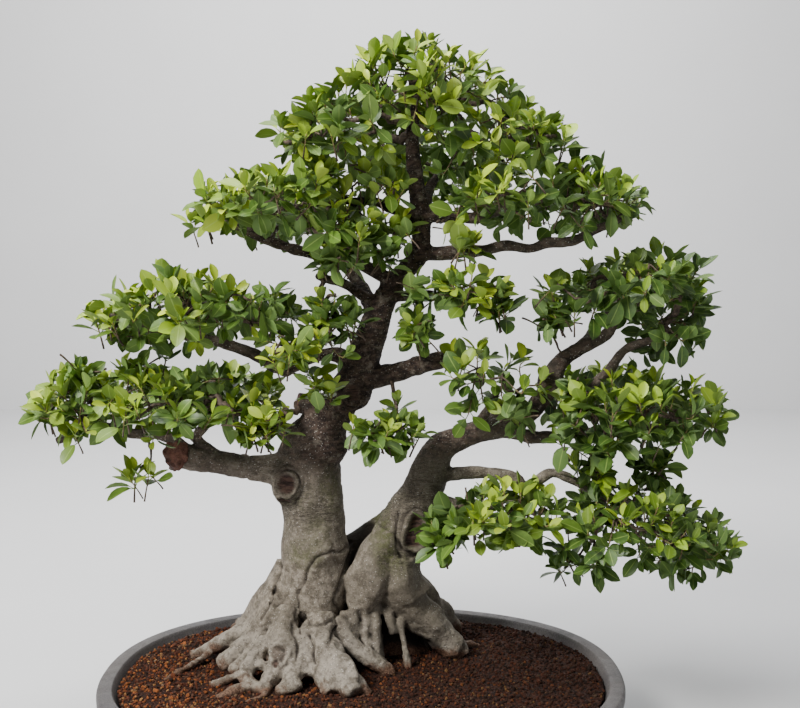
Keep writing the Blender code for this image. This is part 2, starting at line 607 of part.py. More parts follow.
def main():
    clear_scene()
    bpy.context.scene.unit_settings.system = "METRIC"
    stoneware = material("stoneware", (0.115, 0.107, 0.112), 0.62)
    netting = material("netting", (0.02, 0.02, 0.02), 0.55)
    wire = material("wire", (0.55, 0.55, 0.57), 0.38, 1.0)
    earth = material("earth", (0.24, 0.10, 0.05), 0.92)
    bark = material("bark", (0.30, 0.25, 0.20), 0.82)
    leaf = material("leaf", (0.10, 0.22, 0.05), 0.45)

    place = bpy.data.objects.new("pot_middle", None)
    bpy.context.scene.collection.objects.link(place)
    place.location = (POT_X, POT_Y, 0)

    pieces = [make_pot(stoneware)]
    for side, x in (("left", -DRAIN_SPACING / 2), ("right", DRAIN_SPACING / 2)):
        pieces.append(make_screen(f"drain_screen_{side}", x, netting))
        pieces.append(make_wire_clip(f"screen_wire_{side}", x, wire))

    room = bmesh.new()
    tree_tubes(room, [LEFT_TRUNK, RIGHT_TRUNK] + ROOTS, ROOT_GAP + 0.16 * 0.03, 12, 0.020, 0.0)
    root_crown(room, ROOT_GAP + 0.004, 3)
    root_room = add("root_room", room, helper=True, smooth=False)
    pieces.append(make_soil(earth, root_room))
    pieces.append(make_wood(bark))

    room = bmesh.new()
    tree_tubes(room, [LEFT_TRUNK, RIGHT_TRUNK] + BRANCHES, BRANCH_GAP, 7, 0.026, 0.0)
    branch_room = add("branch_room", room, helper=True, smooth=False)
    for name, (detail, blobs) in FOLIAGE.items():
        pieces.append(make_foliage(name, detail, blobs, leaf, branch_room))

    for obj in bpy.data.objects:
        if obj is not place and obj.parent is None:
            obj.parent = place


main()
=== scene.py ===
"""A twin-trunk bonsai in an oval stoneware pot: the visual model round its CAD frame."""

import math

import bmesh
import bpy
import numpy as np
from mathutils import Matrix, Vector, noise
from mathutils.bvhtree import BVHTree
from mathutils.kdtree import KDTree


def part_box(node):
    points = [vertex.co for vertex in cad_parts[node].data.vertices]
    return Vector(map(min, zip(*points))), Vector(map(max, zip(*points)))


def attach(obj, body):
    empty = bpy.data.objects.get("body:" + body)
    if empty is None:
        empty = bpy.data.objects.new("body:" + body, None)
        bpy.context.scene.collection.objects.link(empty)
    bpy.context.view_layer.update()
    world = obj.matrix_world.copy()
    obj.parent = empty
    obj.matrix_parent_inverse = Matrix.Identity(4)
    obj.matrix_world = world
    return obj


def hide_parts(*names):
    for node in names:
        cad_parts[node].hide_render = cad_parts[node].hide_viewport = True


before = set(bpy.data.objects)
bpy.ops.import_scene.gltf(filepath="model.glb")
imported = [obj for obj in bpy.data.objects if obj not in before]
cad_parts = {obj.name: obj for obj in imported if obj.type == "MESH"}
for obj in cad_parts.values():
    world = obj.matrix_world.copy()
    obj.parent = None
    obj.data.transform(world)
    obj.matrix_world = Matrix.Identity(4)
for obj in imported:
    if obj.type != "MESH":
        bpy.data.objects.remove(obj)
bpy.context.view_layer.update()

pot_low, pot_high = [Vector(p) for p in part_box("pot")]
POT_HALF_X = (pot_high.x - pot_low.x) / 2
POT_HALF_Y = (pot_high.y - pot_low.y) / 2
RIM_TOP = pot_high.z
SOIL_TOP = RIM_TOP - 0.006  # at the pot's wall
# Tree points are given from the middle of the soil's surface, as in the CAD source.
MIDDLE = Vector(((pot_low.x + pot_high.x) / 2, (pot_low.y + pot_high.y) / 2, SOIL_TOP))

# Pot
SQUARENESS = 2.3
TAPER = 0.046
RIM_WIDTH = 0.021
RIM_DEPTH = 0.016
WALL = 0.012
FLOOR = 0.011
FOOT_HEIGHT = 0.012
POT_FLOOR = FOOT_HEIGHT + FLOOR
POT_SIDES = 320
FOOT_LENGTH = 0.090
FOOT_WIDTH = 0.026
FOOT_ANGLE = math.radians(40)
DRAIN_RADIUS = 0.016
DRAIN_SPACING = 0.300

# Camera, from the middle of the pot's rim
CAMERA_X = 0.050
CAMERA_BACK = 1.450
CAMERA_UP = 0.554
CAMERA_TILT = math.radians(5.13)
LENS = 50.2

# ------------------------------------------------------------------ helpers


def link(obj):
    bpy.context.scene.collection.objects.link(obj)
    return obj


def mesh_object(name, points, corners, counts, smooth=True, sharp=None):
    """A mesh from flat arrays: points, the vertex of each corner, and each face's size."""
    me = bpy.data.meshes.new(name)
    points = np.asarray(points, np.float32).reshape(-1, 3)
    corners = np.asarray(corners, np.int32).ravel()
    counts = np.asarray(counts, np.int32).ravel()
    me.vertices.add(len(points))
    me.vertices.foreach_set("co", points.ravel())
    me.loops.add(len(corners))
    me.loops.foreach_set("vertex_index", corners)
    me.polygons.add(len(counts))
    starts = np.concatenate([[0], np.cumsum(counts)[:-1]]).astype(np.int32)
    me.polygons.foreach_set("loop_start", starts)
    me.update(calc_edges=True)
    me.polygons.foreach_set("use_smooth", np.full(len(counts), smooth))
    if sharp is not None:
        me.set_sharp_from_angle(angle=sharp)
    return link(bpy.data.objects.new(name, me))


def paint(me, name, values, domain="POINT"):
    layer = me.color_attributes.new(name=name, type="FLOAT_COLOR", domain=domain)
    layer.data.foreach_set("color", np.asarray(values, np.float32).ravel())


def rows(items, name, width=3, kind=np.float32):
    """One property of all of a mesh's items, such as the co of its vertices, a row for each."""
    out = np.empty(len(items) * width, kind)
    items.foreach_get(name, out)
    return out.reshape(-1, width).astype(np.float64 if kind is np.float32 else kind)


def unit(v):
    return v / np.maximum(np.linalg.norm(v, axis=-1, keepdims=True), 1e-12)


def noise_at(points, scale, shift=0.0, stretch=(1, 1, 1)):
    """Perlin noise at each point, from -1 to 1."""
    sx, sy, sz = (scale * s for s in stretch)
    return np.array([noise.noise((x * sx + shift, y * sy + shift, z * sz)) for x, y, z in points])


def baked(obj):
    """The object's mesh with its modifiers applied."""
    graph = bpy.context.evaluated_depsgraph_get()
    return bpy.data.meshes.new_from_object(obj.evaluated_get(graph), depsgraph=graph)


def icosphere(detail):
    """The points and triangles of a ball of radius 1."""
    bm = bmesh.new()
    bmesh.ops.create_icosphere(bm, subdivisions=detail, radius=1.0)
    points = np.array([v.co for v in bm.verts])
    faces = np.array([[v.index for v in f.verts] for f in bm.faces])
    bm.free()
    return points, faces


def ring_faces(rings, sides):
    """Quads between rings of points in turn, and a fan of triangles over each end.

    The rings' points come first, then the middle of the first ring and of the last.
    """
    i = np.arange(sides)
    j = (i + 1) % sides
    quads = np.vstack([
        np.stack([k * sides + i, k * sides + j, (k + 1) * sides + j, (k + 1) * sides + i], 1)
        for k in range(rings - 1)
    ])
    base, middle = (rings - 1) * sides, rings * sides
    caps = np.vstack([
        np.stack([j, i, np.full(sides, middle)], 1),
        np.stack([base + i, base + j, np.full(sides, middle + 1)], 1),
    ])
    return quads, caps


def flat_faces(quads, triangles):
    """Quads and triangles as the corners and counts of mesh_object."""
    corners = np.concatenate([quads.ravel(), triangles.ravel()])
    return corners, np.concatenate([np.full(len(quads), 4), np.full(len(triangles), 3)])


def repeated(corners, points, times):
    """The corners of one shape of so many points, again for each copy of it."""
    return (np.arange(times)[:, None] * points + np.asarray(corners)).ravel()


def done(piece, slot, *nodes):
    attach(piece, "root")
    if nodes:
        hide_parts(*nodes)


# ------------------------------------------------------------------ materials


class Nodes:
    """A short way to write a material's nodes."""

    def __init__(self, name, roughness=0.5, metallic=0.0, specular=0.5):
        self.mat = bpy.data.materials.new(name)
        self.mat.use_nodes = True
        self.tree = self.mat.node_tree
        self.shader = self.tree.nodes["Principled BSDF"]
        self.shader.inputs["Roughness"].default_value = roughness
        self.shader.inputs["Metallic"].default_value = metallic
        self.shader.inputs["Specular IOR Level"].default_value = specular

    def new(self, kind, **inputs):
        node = self.tree.nodes.new(kind)
        for key, value in inputs.items():
            self.feed(node.inputs[key.replace("_", " ")], value)
        return node

    def feed(self, socket, value):
        if isinstance(value, bpy.types.NodeSocket):
            self.tree.links.new(value, socket)
        elif isinstance(value, (tuple, list)) and socket.type == "RGBA":
            socket.default_value = (*value, 1.0)[:4]
        else:
            socket.default_value = value

    def coords(self, stretch=(1, 1, 1)):
        place = self.new("ShaderNodeTexCoord").outputs["Object"]
        if stretch == (1, 1, 1):
            return place
        node = self.new("ShaderNodeMapping", Vector=place)
        node.inputs["Scale"].default_value = stretch
        return node.outputs["Vector"]

    def noise(self, scale, detail=4.0, rough=0.55, at=None, distort=0.0):
        node = self.new("ShaderNodeTexNoise", Scale=scale, Detail=detail, Roughness=rough)
        node.inputs["Distortion"].default_value = distort
        self.feed(node.inputs["Vector"], at or self.coords())
        return node.outputs["Fac"]

    def cells(self, scale, at=None):
        node = self.new("ShaderNodeTexVoronoi", Scale=scale)
        self.feed(node.inputs["Vector"], at or self.coords())
        return node.outputs["Distance"]

    def ramp(self, value, low, high, to=(0.0, 1.0)):
        node = self.new("ShaderNodeMapRange", Value=value)
        node.interpolation_type = "SMOOTHSTEP"
        node.inputs["From Min"].default_value = low
        node.inputs["From Max"].default_value = high
        node.inputs["To Min"].default_value = to[0]
        node.inputs["To Max"].default_value = to[1]
        return node.outputs["Result"]

    def math(self, operation, a, b=0.5):
        node = self.tree.nodes.new("ShaderNodeMath")
        node.operation = operation
        self.feed(node.inputs[0], a)
        self.feed(node.inputs[1], b)
        return node.outputs[0]

    def times(self, a, b):
        return self.math("MULTIPLY", a, b)

    def plus(self, a, b):
        return self.math("ADD", a, b)

    def mix(self, share, a, b):
        node = self.tree.nodes.new("ShaderNodeMix")
        node.data_type = "RGBA"
        self.feed(node.inputs[0], share)
        self.feed(node.inputs[6], a)
        self.feed(node.inputs[7], b)
        return node.outputs[2]

    def over(self, under, tint, value, low, high, share=1.0):
        """A tint laid over a colour: none of it where value is low, a share where it is high."""
        return self.mix(self.ramp(value, low, high, (0.0, share)), under, tint)

    def painted(self, name):
        node = self.tree.nodes.new("ShaderNodeVertexColor")
        node.layer_name = name
        parts = self.new("ShaderNodeSeparateColor", Color=node.outputs["Color"])
        return [parts.outputs[0], parts.outputs[1], parts.outputs[2], node.outputs["Alpha"]]

    def height(self):
        parts = self.new("ShaderNodeSeparateXYZ", Vector=self.coords())
        return parts.outputs

    def bump(self, height, distance, strength=1.0, under=None):
        node = self.new("ShaderNodeBump", Height=height, Distance=distance, Strength=strength)
        if under is not None:
            self.feed(node.inputs["Normal"], under)
        return node.outputs["Normal"]

    def finish(self, colour=None, roughness=None, normal=None):
        if colour is not None:
            self.feed(self.shader.inputs["Base Color"], colour)
        if roughness is not None:
            self.feed(self.shader.inputs["Roughness"], roughness)
        if normal is not None:
            self.feed(self.shader.inputs["Normal"], normal)
        return self.mat


def stoneware_material():
    n = Nodes("stoneware_fired", specular=0.42)
    broad = n.noise(7, 5, 0.6)
    fine = n.noise(420, 3, 0.6)
    specks = n.cells(520)
    colour = n.over((0.062, 0.058, 0.061), (0.096, 0.086, 0.082), broad, 0.35, 0.68)
    colour = n.over(colour, (0.185, 0.172, 0.168), fine, 0.35, 0.75, 0.45)
    colour = n.over(colour, (0.040, 0.036, 0.038), specks, 0.16, 0.05, 0.55)
    rough = n.ramp(n.noise(60, 4), 0.3, 0.7, (0.46, 0.66))
    normal = n.bump(fine, 0.0006, 0.5)
    normal = n.bump(n.noise(45, 4), 0.0020, 0.35, normal)
    return n.finish(colour, rough, normal)


def bark_material():
    """Pale grey pored bark below, darker and redder above. The paint holds what is local:
    wood_tone holds painted shade in hollows, then scars, sawn wood and brownness; the second layer holds
    wrinkles, damp, the roots' paleness and painted shade on the right trunk and the knot."""
    n = Nodes("bark_of_fig", specular=0.30)
    deep, scar, sawn, brown = n.painted("wood_tone")
    wrinkled, damp, pale_share, painted_shade = n.painted("wood_wear_and_shade")
    z = n.height()[2]
    broad = n.noise(14, 4, 0.6)
    mottle = n.noise(75, 5, 0.68)
    fine = n.noise(420, 4, 0.7)
    rings = n.noise(70, 4, 0.62, n.coords((0.8, 0.8, 5.0)), 0.5)
    streaks = n.noise(58, 4, 0.65, n.coords((1.0, 1.0, 0.28)))
    pale = n.over((0.105, 0.086, 0.063), (0.305, 0.262, 0.208), mottle, 0.36, 0.62)
    pale = n.over(pale, (0.120, 0.102, 0.076), broad, 0.48, 0.64, 0.60)
    pale = n.over(pale, (0.085, 0.069, 0.050), streaks, 0.54, 0.66, 0.50)
    pale = n.mix(n.times(n.ramp(fine, 0.50, 0.66), 0.50), pale, (0.480, 0.430, 0.360))
    roots = n.times(pale_share, n.ramp(mottle, 0.36, 0.60, (0.15, 0.85)))
    pale = n.mix(roots, pale, (0.330, 0.292, 0.242))
    grit = n.noise(210, 3, 0.7)
    pale = n.over(pale, (0.075, 0.060, 0.045), grit, 0.52, 0.62, 0.50)
    # painted shade on the right trunk and the knot, whose bark is darker as well
    pale = n.mix(n.times(painted_shade, 0.62), pale, n.mix(fine, (0.045, 0.038, 0.026), (0.165, 0.142, 0.105)))
    rough_bark = n.noise(95, 5, 0.72, n.coords((0.9, 0.9, 1.6)), 0.3)
    dark = n.over((0.018, 0.011, 0.009), (0.098, 0.064, 0.048), rough_bark, 0.38, 0.60)
    dark = n.over(dark, (0.020, 0.013, 0.010), rings, 0.50, 0.40, 0.45)
    dark = n.over(dark, (0.225, 0.190, 0.152), mottle, 0.52, 0.66, 0.70)
    share = n.plus(brown, n.times(n.math("SUBTRACT", broad, 0.5), 0.8))
    share = n.plus(share, n.times(n.math("SUBTRACT", mottle, 0.5), 0.8))
    share = n.ramp(share, 0.22, 0.84)
    colour = n.mix(share, pale, dark)
    # pores and small pale lenticels
    pores = n.ramp(n.cells(250), 0.30, 0.12)
    patch = n.ramp(n.noise(55, 3, 0.6), 0.44, 0.60)
    pores = n.times(pores, n.plus(patch, n.times(wrinkled, 0.5)))
    tint = n.mix(share, (0.060, 0.047, 0.036), (0.270, 0.230, 0.190))
    colour = n.mix(n.math("MINIMUM", n.times(pores, 0.75), 0.80), colour, tint)
    dots = n.ramp(n.cells(230, n.coords((1.0, 1.0, 1.3))), 0.20, 0.10)
    dots = n.times(dots, n.ramp(n.noise(38, 2), 0.42, 0.56))
    colour = n.mix(n.times(dots, 0.70), colour, (0.660, 0.630, 0.580))
    # green film where the trunks stay damp
    film = n.times(damp, n.ramp(n.noise(120, 4, 0.7), 0.36, 0.56))
    colour = n.mix(n.times(film, 0.80), colour, n.mix(fine, (0.035, 0.042, 0.012), (0.150, 0.160, 0.060)))
    # wrinkle lines
    lines = n.ramp(n.math("ABSOLUTE", n.math("SUBTRACT", rings, 0.5), 0.0), 0.036, 0.004)
    lines = n.times(lines, n.math("MAXIMUM", wrinkled, n.times(share, 0.3)))
    colour = n.mix(n.times(lines, 0.92), colour, (0.026, 0.020, 0.015))
    # painted shade in hollows, creases and under the roots; then scars, sawn wood and the soil's stain
    colour = n.over(colour, (0.016, 0.011, 0.008), deep, 0.10, 0.85, 0.95)
    scarred = n.over((0.018, 0.010, 0.008), (0.085, 0.048, 0.036), rings, 0.40, 0.62)
    colour = n.mix(scar, colour, scarred)
    cut = n.over((0.055, 0.022, 0.016), (0.190, 0.085, 0.060), mottle, 0.35, 0.65)
    colour = n.mix(sawn, colour, cut)
    stain = n.plus(z, n.times(n.math("SUBTRACT", mottle, 0.5), 0.030))
    stain = n.plus(stain, n.times(n.math("SUBTRACT", broad, 0.5), 0.060))
    stain = n.ramp(stain, SOIL_TOP + 0.016, SOIL_TOP + 0.002, (0.0, 0.90))
    rust = n.over((0.060, 0.026, 0.015), (0.170, 0.092, 0.056), fine, 0.4, 0.6)
    colour = n.mix(stain, colour, rust)
    depth = n.math("MAXIMUM", wrinkled, n.times(share, 0.5))
    normal = n.bump(rough_bark, 0.0040, n.times(share, 0.80))
    normal = n.bump(rings, 0.0040, n.plus(n.times(depth, 0.75), 0.12), normal)
    normal = n.bump(mottle, 0.0028, 0.80, normal)
    normal = n.bump(grit, 0.0014, 0.70, normal)
    normal = n.bump(fine, 0.0008, 0.70, normal)
    rough = n.ramp(mottle, 0.3, 0.7, (0.70, 0.92))
    return n.finish(colour, rough, normal)


def twig_material():
    """Shoots: red is how young the wood is."""
    n = Nodes("shoot_bark", specular=0.30)
    young = n.painted("twig_tone")[0]
    grain = n.noise(260, 4, 0.6)
    old = n.over((0.040, 0.027, 0.020), (0.135, 0.098, 0.072), grain, 0.35, 0.65)
    new = n.over((0.170, 0.085, 0.040), (0.240, 0.215, 0.075), grain, 0.35, 0.65)
    colour = n.mix(young, old, new)
    rough = n.ramp(grain, 0.3, 0.7, (0.55, 0.80))
    return n.finish(colour, rough, n.bump(grain, 0.0005, 0.6))


def leaf_material():
    """Red is how young the leaf is, green the place across it, blue its own tone, lowered
    by painted shade on the tree's right side, and alpha is 1 on its underside."""
    n = Nodes("fig_leaf", specular=0.42)
    young, across, shade, under = n.painted("leaf_tone")
    mottle = n.noise(150, 3, 0.6)
    deep = n.mix(shade, (0.022, 0.060, 0.011), (0.105, 0.200, 0.022))
    deep = n.over(deep, (0.110, 0.195, 0.024), mottle, 0.35, 0.70, 0.35)
    fresh = n.mix(shade, (0.240, 0.410, 0.012), (0.580, 0.670, 0.040))
    colour = n.mix(n.ramp(young, 0.04, 0.92), deep, fresh)
    colour = n.mix(n.times(under, 0.45), colour, (0.160, 0.260, 0.075))
    rib = n.ramp(across, 0.11, 0.02)
    colour = n.mix(n.times(rib, 0.55), colour, (0.300, 0.420, 0.090))
    edge = n.ramp(across, 0.92, 1.0)
    colour = n.mix(n.times(edge, 0.25), colour, (0.260, 0.360, 0.080))
    rough = n.ramp(mottle, 0.3, 0.7, (0.38, 0.52))
    rough = n.plus(rough, n.times(under, 0.22))
    normal = n.bump(n.noise(700, 2, 0.5), 0.0004, 0.35)
    return n.finish(colour, rough, normal)


def soil_material():
    n = Nodes("soil_bed", roughness=0.95, specular=0.2)
    cells = n.cells(260)
    tone = n.noise(180, 4, 0.7)
    colour = n.over((0.009, 0.005, 0.004), (0.045, 0.017, 0.010), tone, 0.35, 0.65)
    colour = n.over(colour, (0.070, 0.026, 0.013), cells, 0.42, 0.10, 0.5)
    return n.finish(colour, None, n.bump(cells, 0.003, 0.9))


def grain_material():
    """Red, green and blue hold each grain's own colour."""
    n = Nodes("soil_grains", roughness=0.93, specular=0.2)
    node = n.tree.nodes.new("ShaderNodeVertexColor")
    node.layer_name = "grain_tone"
    fine = n.noise(900, 3, 0.7)
    colour = n.mix(n.ramp(fine, 0.3, 0.7, (0.0, 0.55)), node.outputs["Color"], (0.030, 0.015, 0.010))
    return n.finish(colour, None, n.bump(fine, 0.0006, 0.8))


def netting_material():
    n = Nodes("netting_plastic", roughness=0.5)
    grain = n.noise(900, 3)
    colour = n.mix(grain, (0.010, 0.010, 0.011), (0.030, 0.030, 0.032))
    return n.finish(colour, None, n.bump(grain, 0.0002, 0.5))


def wire_material():
    n = Nodes("drawn_wire", metallic=1.0)
    grain = n.noise(700, 4, 0.6, n.coords((0.2, 1.0, 1.0)))
    return n.finish(
        n.mix(grain, (0.42, 0.42, 0.43), (0.66, 0.66, 0.67)), n.ramp(grain, 0.3, 0.7, (0.28, 0.5))
    )


def floor_material():
    n = Nodes("plain_floor", roughness=0.9, specular=0.2)
    return n.finish(n.mix(n.noise(3, 2), (0.60, 0.60, 0.605), (0.64, 0.64, 0.645)))

# ------------------------------------------------------------------ tubes


def smooth_line(knots, step):
    """Points about a step apart on a smooth curve through the knots, each x, y, z, radius."""
    found = []
    knots = [np.array(k, float) for k in knots]
    last = len(knots) - 1
    for i in range(last):
        a, b, c, d = knots[max(i - 1, 0)], knots[i], knots[i + 1], knots[min(i + 2, last)]
        count = max(1, round(float(np.linalg.norm(c[:3] - b[:3])) / step))
        for t in np.arange(count) / count:
            found.append(
                0.5 * (2 * b + (c - a) * t + (2 * a - 5 * b + 4 * c - d) * t * t
                       + (3 * b - a - 3 * c + d) * t ** 3)
            )
    found.append(knots[-1])
    return np.array(found)


def placed(line):
    """A line given from the middle of the soil, moved to where the pot stands."""
    line = np.array(line, float)
    line[:, :3] += np.array(MIDDLE)
    return line


class Body:
    """Closed shapes gathered for one mesh, with a colour of paint at each point."""

    def __init__(self):
        self.points, self.corners, self.counts, self.tones = [], [], [], []
        self.size = 0

    def add(self, points, corners, counts, tone):
        tone = np.asarray(tone, float)
        self.points.append(points)
        self.corners.append(np.asarray(corners).ravel() + self.size)
        self.counts.append(np.asarray(counts).ravel())
        self.tones.append(np.broadcast_to(tone, (len(points), 4)))
        self.size += len(points)

    def tube(self, line, sides, tone=(0, 0, 0, 0), lumps=0.1, seed=0.0, end_tone=None):
        """Round a line of x, y, z, radius. end_tone paints the sawn cap at its end."""
        spots, radii = line[:, :3], line[:, 3]
        ahead = unit(np.gradient(spots, axis=0))
        side = np.array(Vector(ahead[0]).orthogonal().normalized())
        angles = 2 * np.pi * np.arange(sides) / sides
        rings = []
        for spot, way, radius in zip(spots, ahead, radii):
            side = unit(side - way * side.dot(way))
            other = np.cross(way, side)
            ring = np.outer(np.cos(angles), side) + np.outer(np.sin(angles), other)
            swell = [noise.noise(Vector(spot * 30 + r * 1.2 + seed)) for r in ring]
            ring = ring * (1 + lumps * np.array(swell))[:, None]
            rings.append(spot + ring * radius)
        count = len(rings)
        points = np.vstack(rings + [spots[:1], spots[-1:]])
        quads, caps = ring_faces(count, sides)
        tone = np.broadcast_to(np.asarray(tone, float), (count, 4))
        tones = np.vstack([np.repeat(tone, sides, axis=0), tone[:1], tone[-1:]])
        if end_tone is not None:
            # one more ring on the same spot, so that only the cap takes the sawn colour
            base, middle, ring = (count - 1) * sides, count * sides + 1, len(points)
            caps[sides:, :2] += ring - base
            i = np.arange(sides)
            j = (i + 1) % sides
            quads = np.vstack([quads, np.stack([base + i, base + j, ring + j, ring + i], 1)])
            points = np.vstack([points, points[base:base + sides]])
            tones = np.vstack([tones, np.broadcast_to(end_tone, (sides, 4))])
            tones[middle] = end_tone
            centre = points[middle]
            points[ring:] = centre + (points[ring:] - centre) * 0.93 + ahead[-1] * radii[-1] * 0.10
            points[middle] = centre + ahead[-1] * radii[-1] * 0.13
        self.add(points, *flat_faces(quads, caps), tones)

    def ball(self, middle, half, tone=(0, 0, 0, 0), lumps=0.1, seed=0.0, detail=3, under=1.0):
        """A lumpy oval ball. under flattens its lower half."""
        ways, faces = icosphere(detail)
        swell = np.array([1 + lumps * noise.noise(Vector(w * 2.4 + seed)) for w in ways])
        spots = ways * swell[:, None] * np.array(half)
        spots[:, 2] *= np.where(ways[:, 2] < 0, under, 1.0)
        self.add(spots + np.array(middle), faces, np.full(len(faces), 3), tone)

    def object(self, name, paint_name=None, sharp=None):
        obj = mesh_object(
            name, np.vstack(self.points), np.concatenate(self.corners),
            np.concatenate(self.counts), sharp=sharp,
        )
        if paint_name:
            paint(obj.data, paint_name, np.vstack(self.tones))
        return obj


def many_tubes(paths, radii, sides):
    """Thin closed tubes, all of one count of rings: points, corners, counts and points in each."""
    n, rings, _ = paths.shape
    ahead = unit(np.gradient(paths, axis=1))
    mean = unit(paths[:, -1] - paths[:, 0])
    handy = np.where(np.abs(mean[:, 2:]) < 0.8, [[0, 0, 1.0]], [[1.0, 0, 0]])
    side = unit(np.cross(ahead, handy[:, None, :]))
    other = np.cross(ahead, side)
    angles = 2 * np.pi * np.arange(sides) / sides
    ring = (np.cos(angles)[None, None, :, None] * side[:, :, None, :]
            + np.sin(angles)[None, None, :, None] * other[:, :, None, :])
    skin = paths[:, :, None, :] + ring * radii[:, :, None, None]
    points = np.concatenate([skin.reshape(n, -1, 3), paths[:, :1], paths[:, -1:]], axis=1)
    per = points.shape[1]
    corners, counts = flat_faces(*ring_faces(rings, sides))
    return points.reshape(-1, 3), repeated(corners, per, n), np.tile(counts, n), per


def remeshed(obj, voxel, passes):
    """The object's closed shapes fused into one skin, and softened."""
    fuse = obj.modifiers.new("Fuse", "REMESH")
    fuse.mode = "VOXEL"
    fuse.voxel_size = voxel
    fuse.use_smooth_shade = True
    soften = obj.modifiers.new("Soften", "SMOOTH")
    soften.factor = 0.5
    soften.iterations = passes
    made, old, name = baked(obj), obj.data, obj.name
    bpy.data.objects.remove(obj)
    bpy.data.meshes.remove(old)
    made.name = name
    made.polygons.foreach_set("use_smooth", np.ones(len(made.polygons), bool))
    return link(bpy.data.objects.new(name, made))


def softened(values, ends, passes):
    """Values at each point, averaged with those at the other ends of its edges."""
    table = values.reshape(len(values), -1)
    count = np.bincount(ends.ravel(), minlength=len(table)).astype(float)
    for _ in range(passes):
        total = np.stack([
            sum(np.bincount(ends[:, a], weights=column[ends[:, b]], minlength=len(table))
                for a, b in ((0, 1), (1, 0)))
            for column in table.T
        ], axis=1)
        table = table * 0.4 + total / count[:, None] * 0.6
    return table.reshape(values.shape)


# ------------------------------------------------------------------ the tree's wood

# Each line is knots of x, y, z and radius, from the middle of the soil surface.
LEFT_TRUNK = [
    (-0.082, 0.066, -0.034, 0.06), (-0.08, 0.066, 0.03, 0.056), (-0.071, 0.064, 0.092, 0.047),
    (-0.068, 0.062, 0.155, 0.0435), (-0.069, 0.06, 0.206, 0.043), (-0.075, 0.058, 0.256, 0.043),
    (-0.073, 0.058, 0.296, 0.04), (-0.05, 0.06, 0.334, 0.0305), (-0.027, 0.062, 0.364, 0.024),
    (-0.006, 0.064, 0.404, 0.024), (0.01, 0.066, 0.446, 0.0215), (0.024, 0.066, 0.488, 0.0175),
    (0.044, 0.064, 0.524, 0.0145), (0.076, 0.06, 0.56, 0.0135), (0.078, 0.056, 0.608, 0.0125),
    (0.071, 0.052, 0.653, 0.0115), (0.066, 0.05, 0.706, 0.0095), (0.072, 0.052, 0.76, 0.007),
]
RIGHT_TRUNK = [
    (0.044, 0.08, 0.058, 0.026), (0.04, 0.078, 0.074, 0.036), (0.036, 0.075, 0.092, 0.039),
    (0.036, 0.072, 0.126, 0.0365), (0.047, 0.07, 0.166, 0.0355), (0.076, 0.068, 0.221, 0.032),
    (0.09, 0.066, 0.262, 0.027), (0.108, 0.064, 0.296, 0.0205), (0.145, 0.06, 0.314, 0.015),
    (0.192, 0.056, 0.326, 0.0145), (0.222, 0.054, 0.342, 0.0135), (0.247, 0.052, 0.37, 0.013),
    (0.255, 0.052, 0.391, 0.0145), (0.268, 0.052, 0.416, 0.0115), (0.3, 0.054, 0.436, 0.01),
    (0.33, 0.056, 0.452, 0.009), (0.343, 0.058, 0.478, 0.008), (0.378, 0.06, 0.49, 0.006),
]
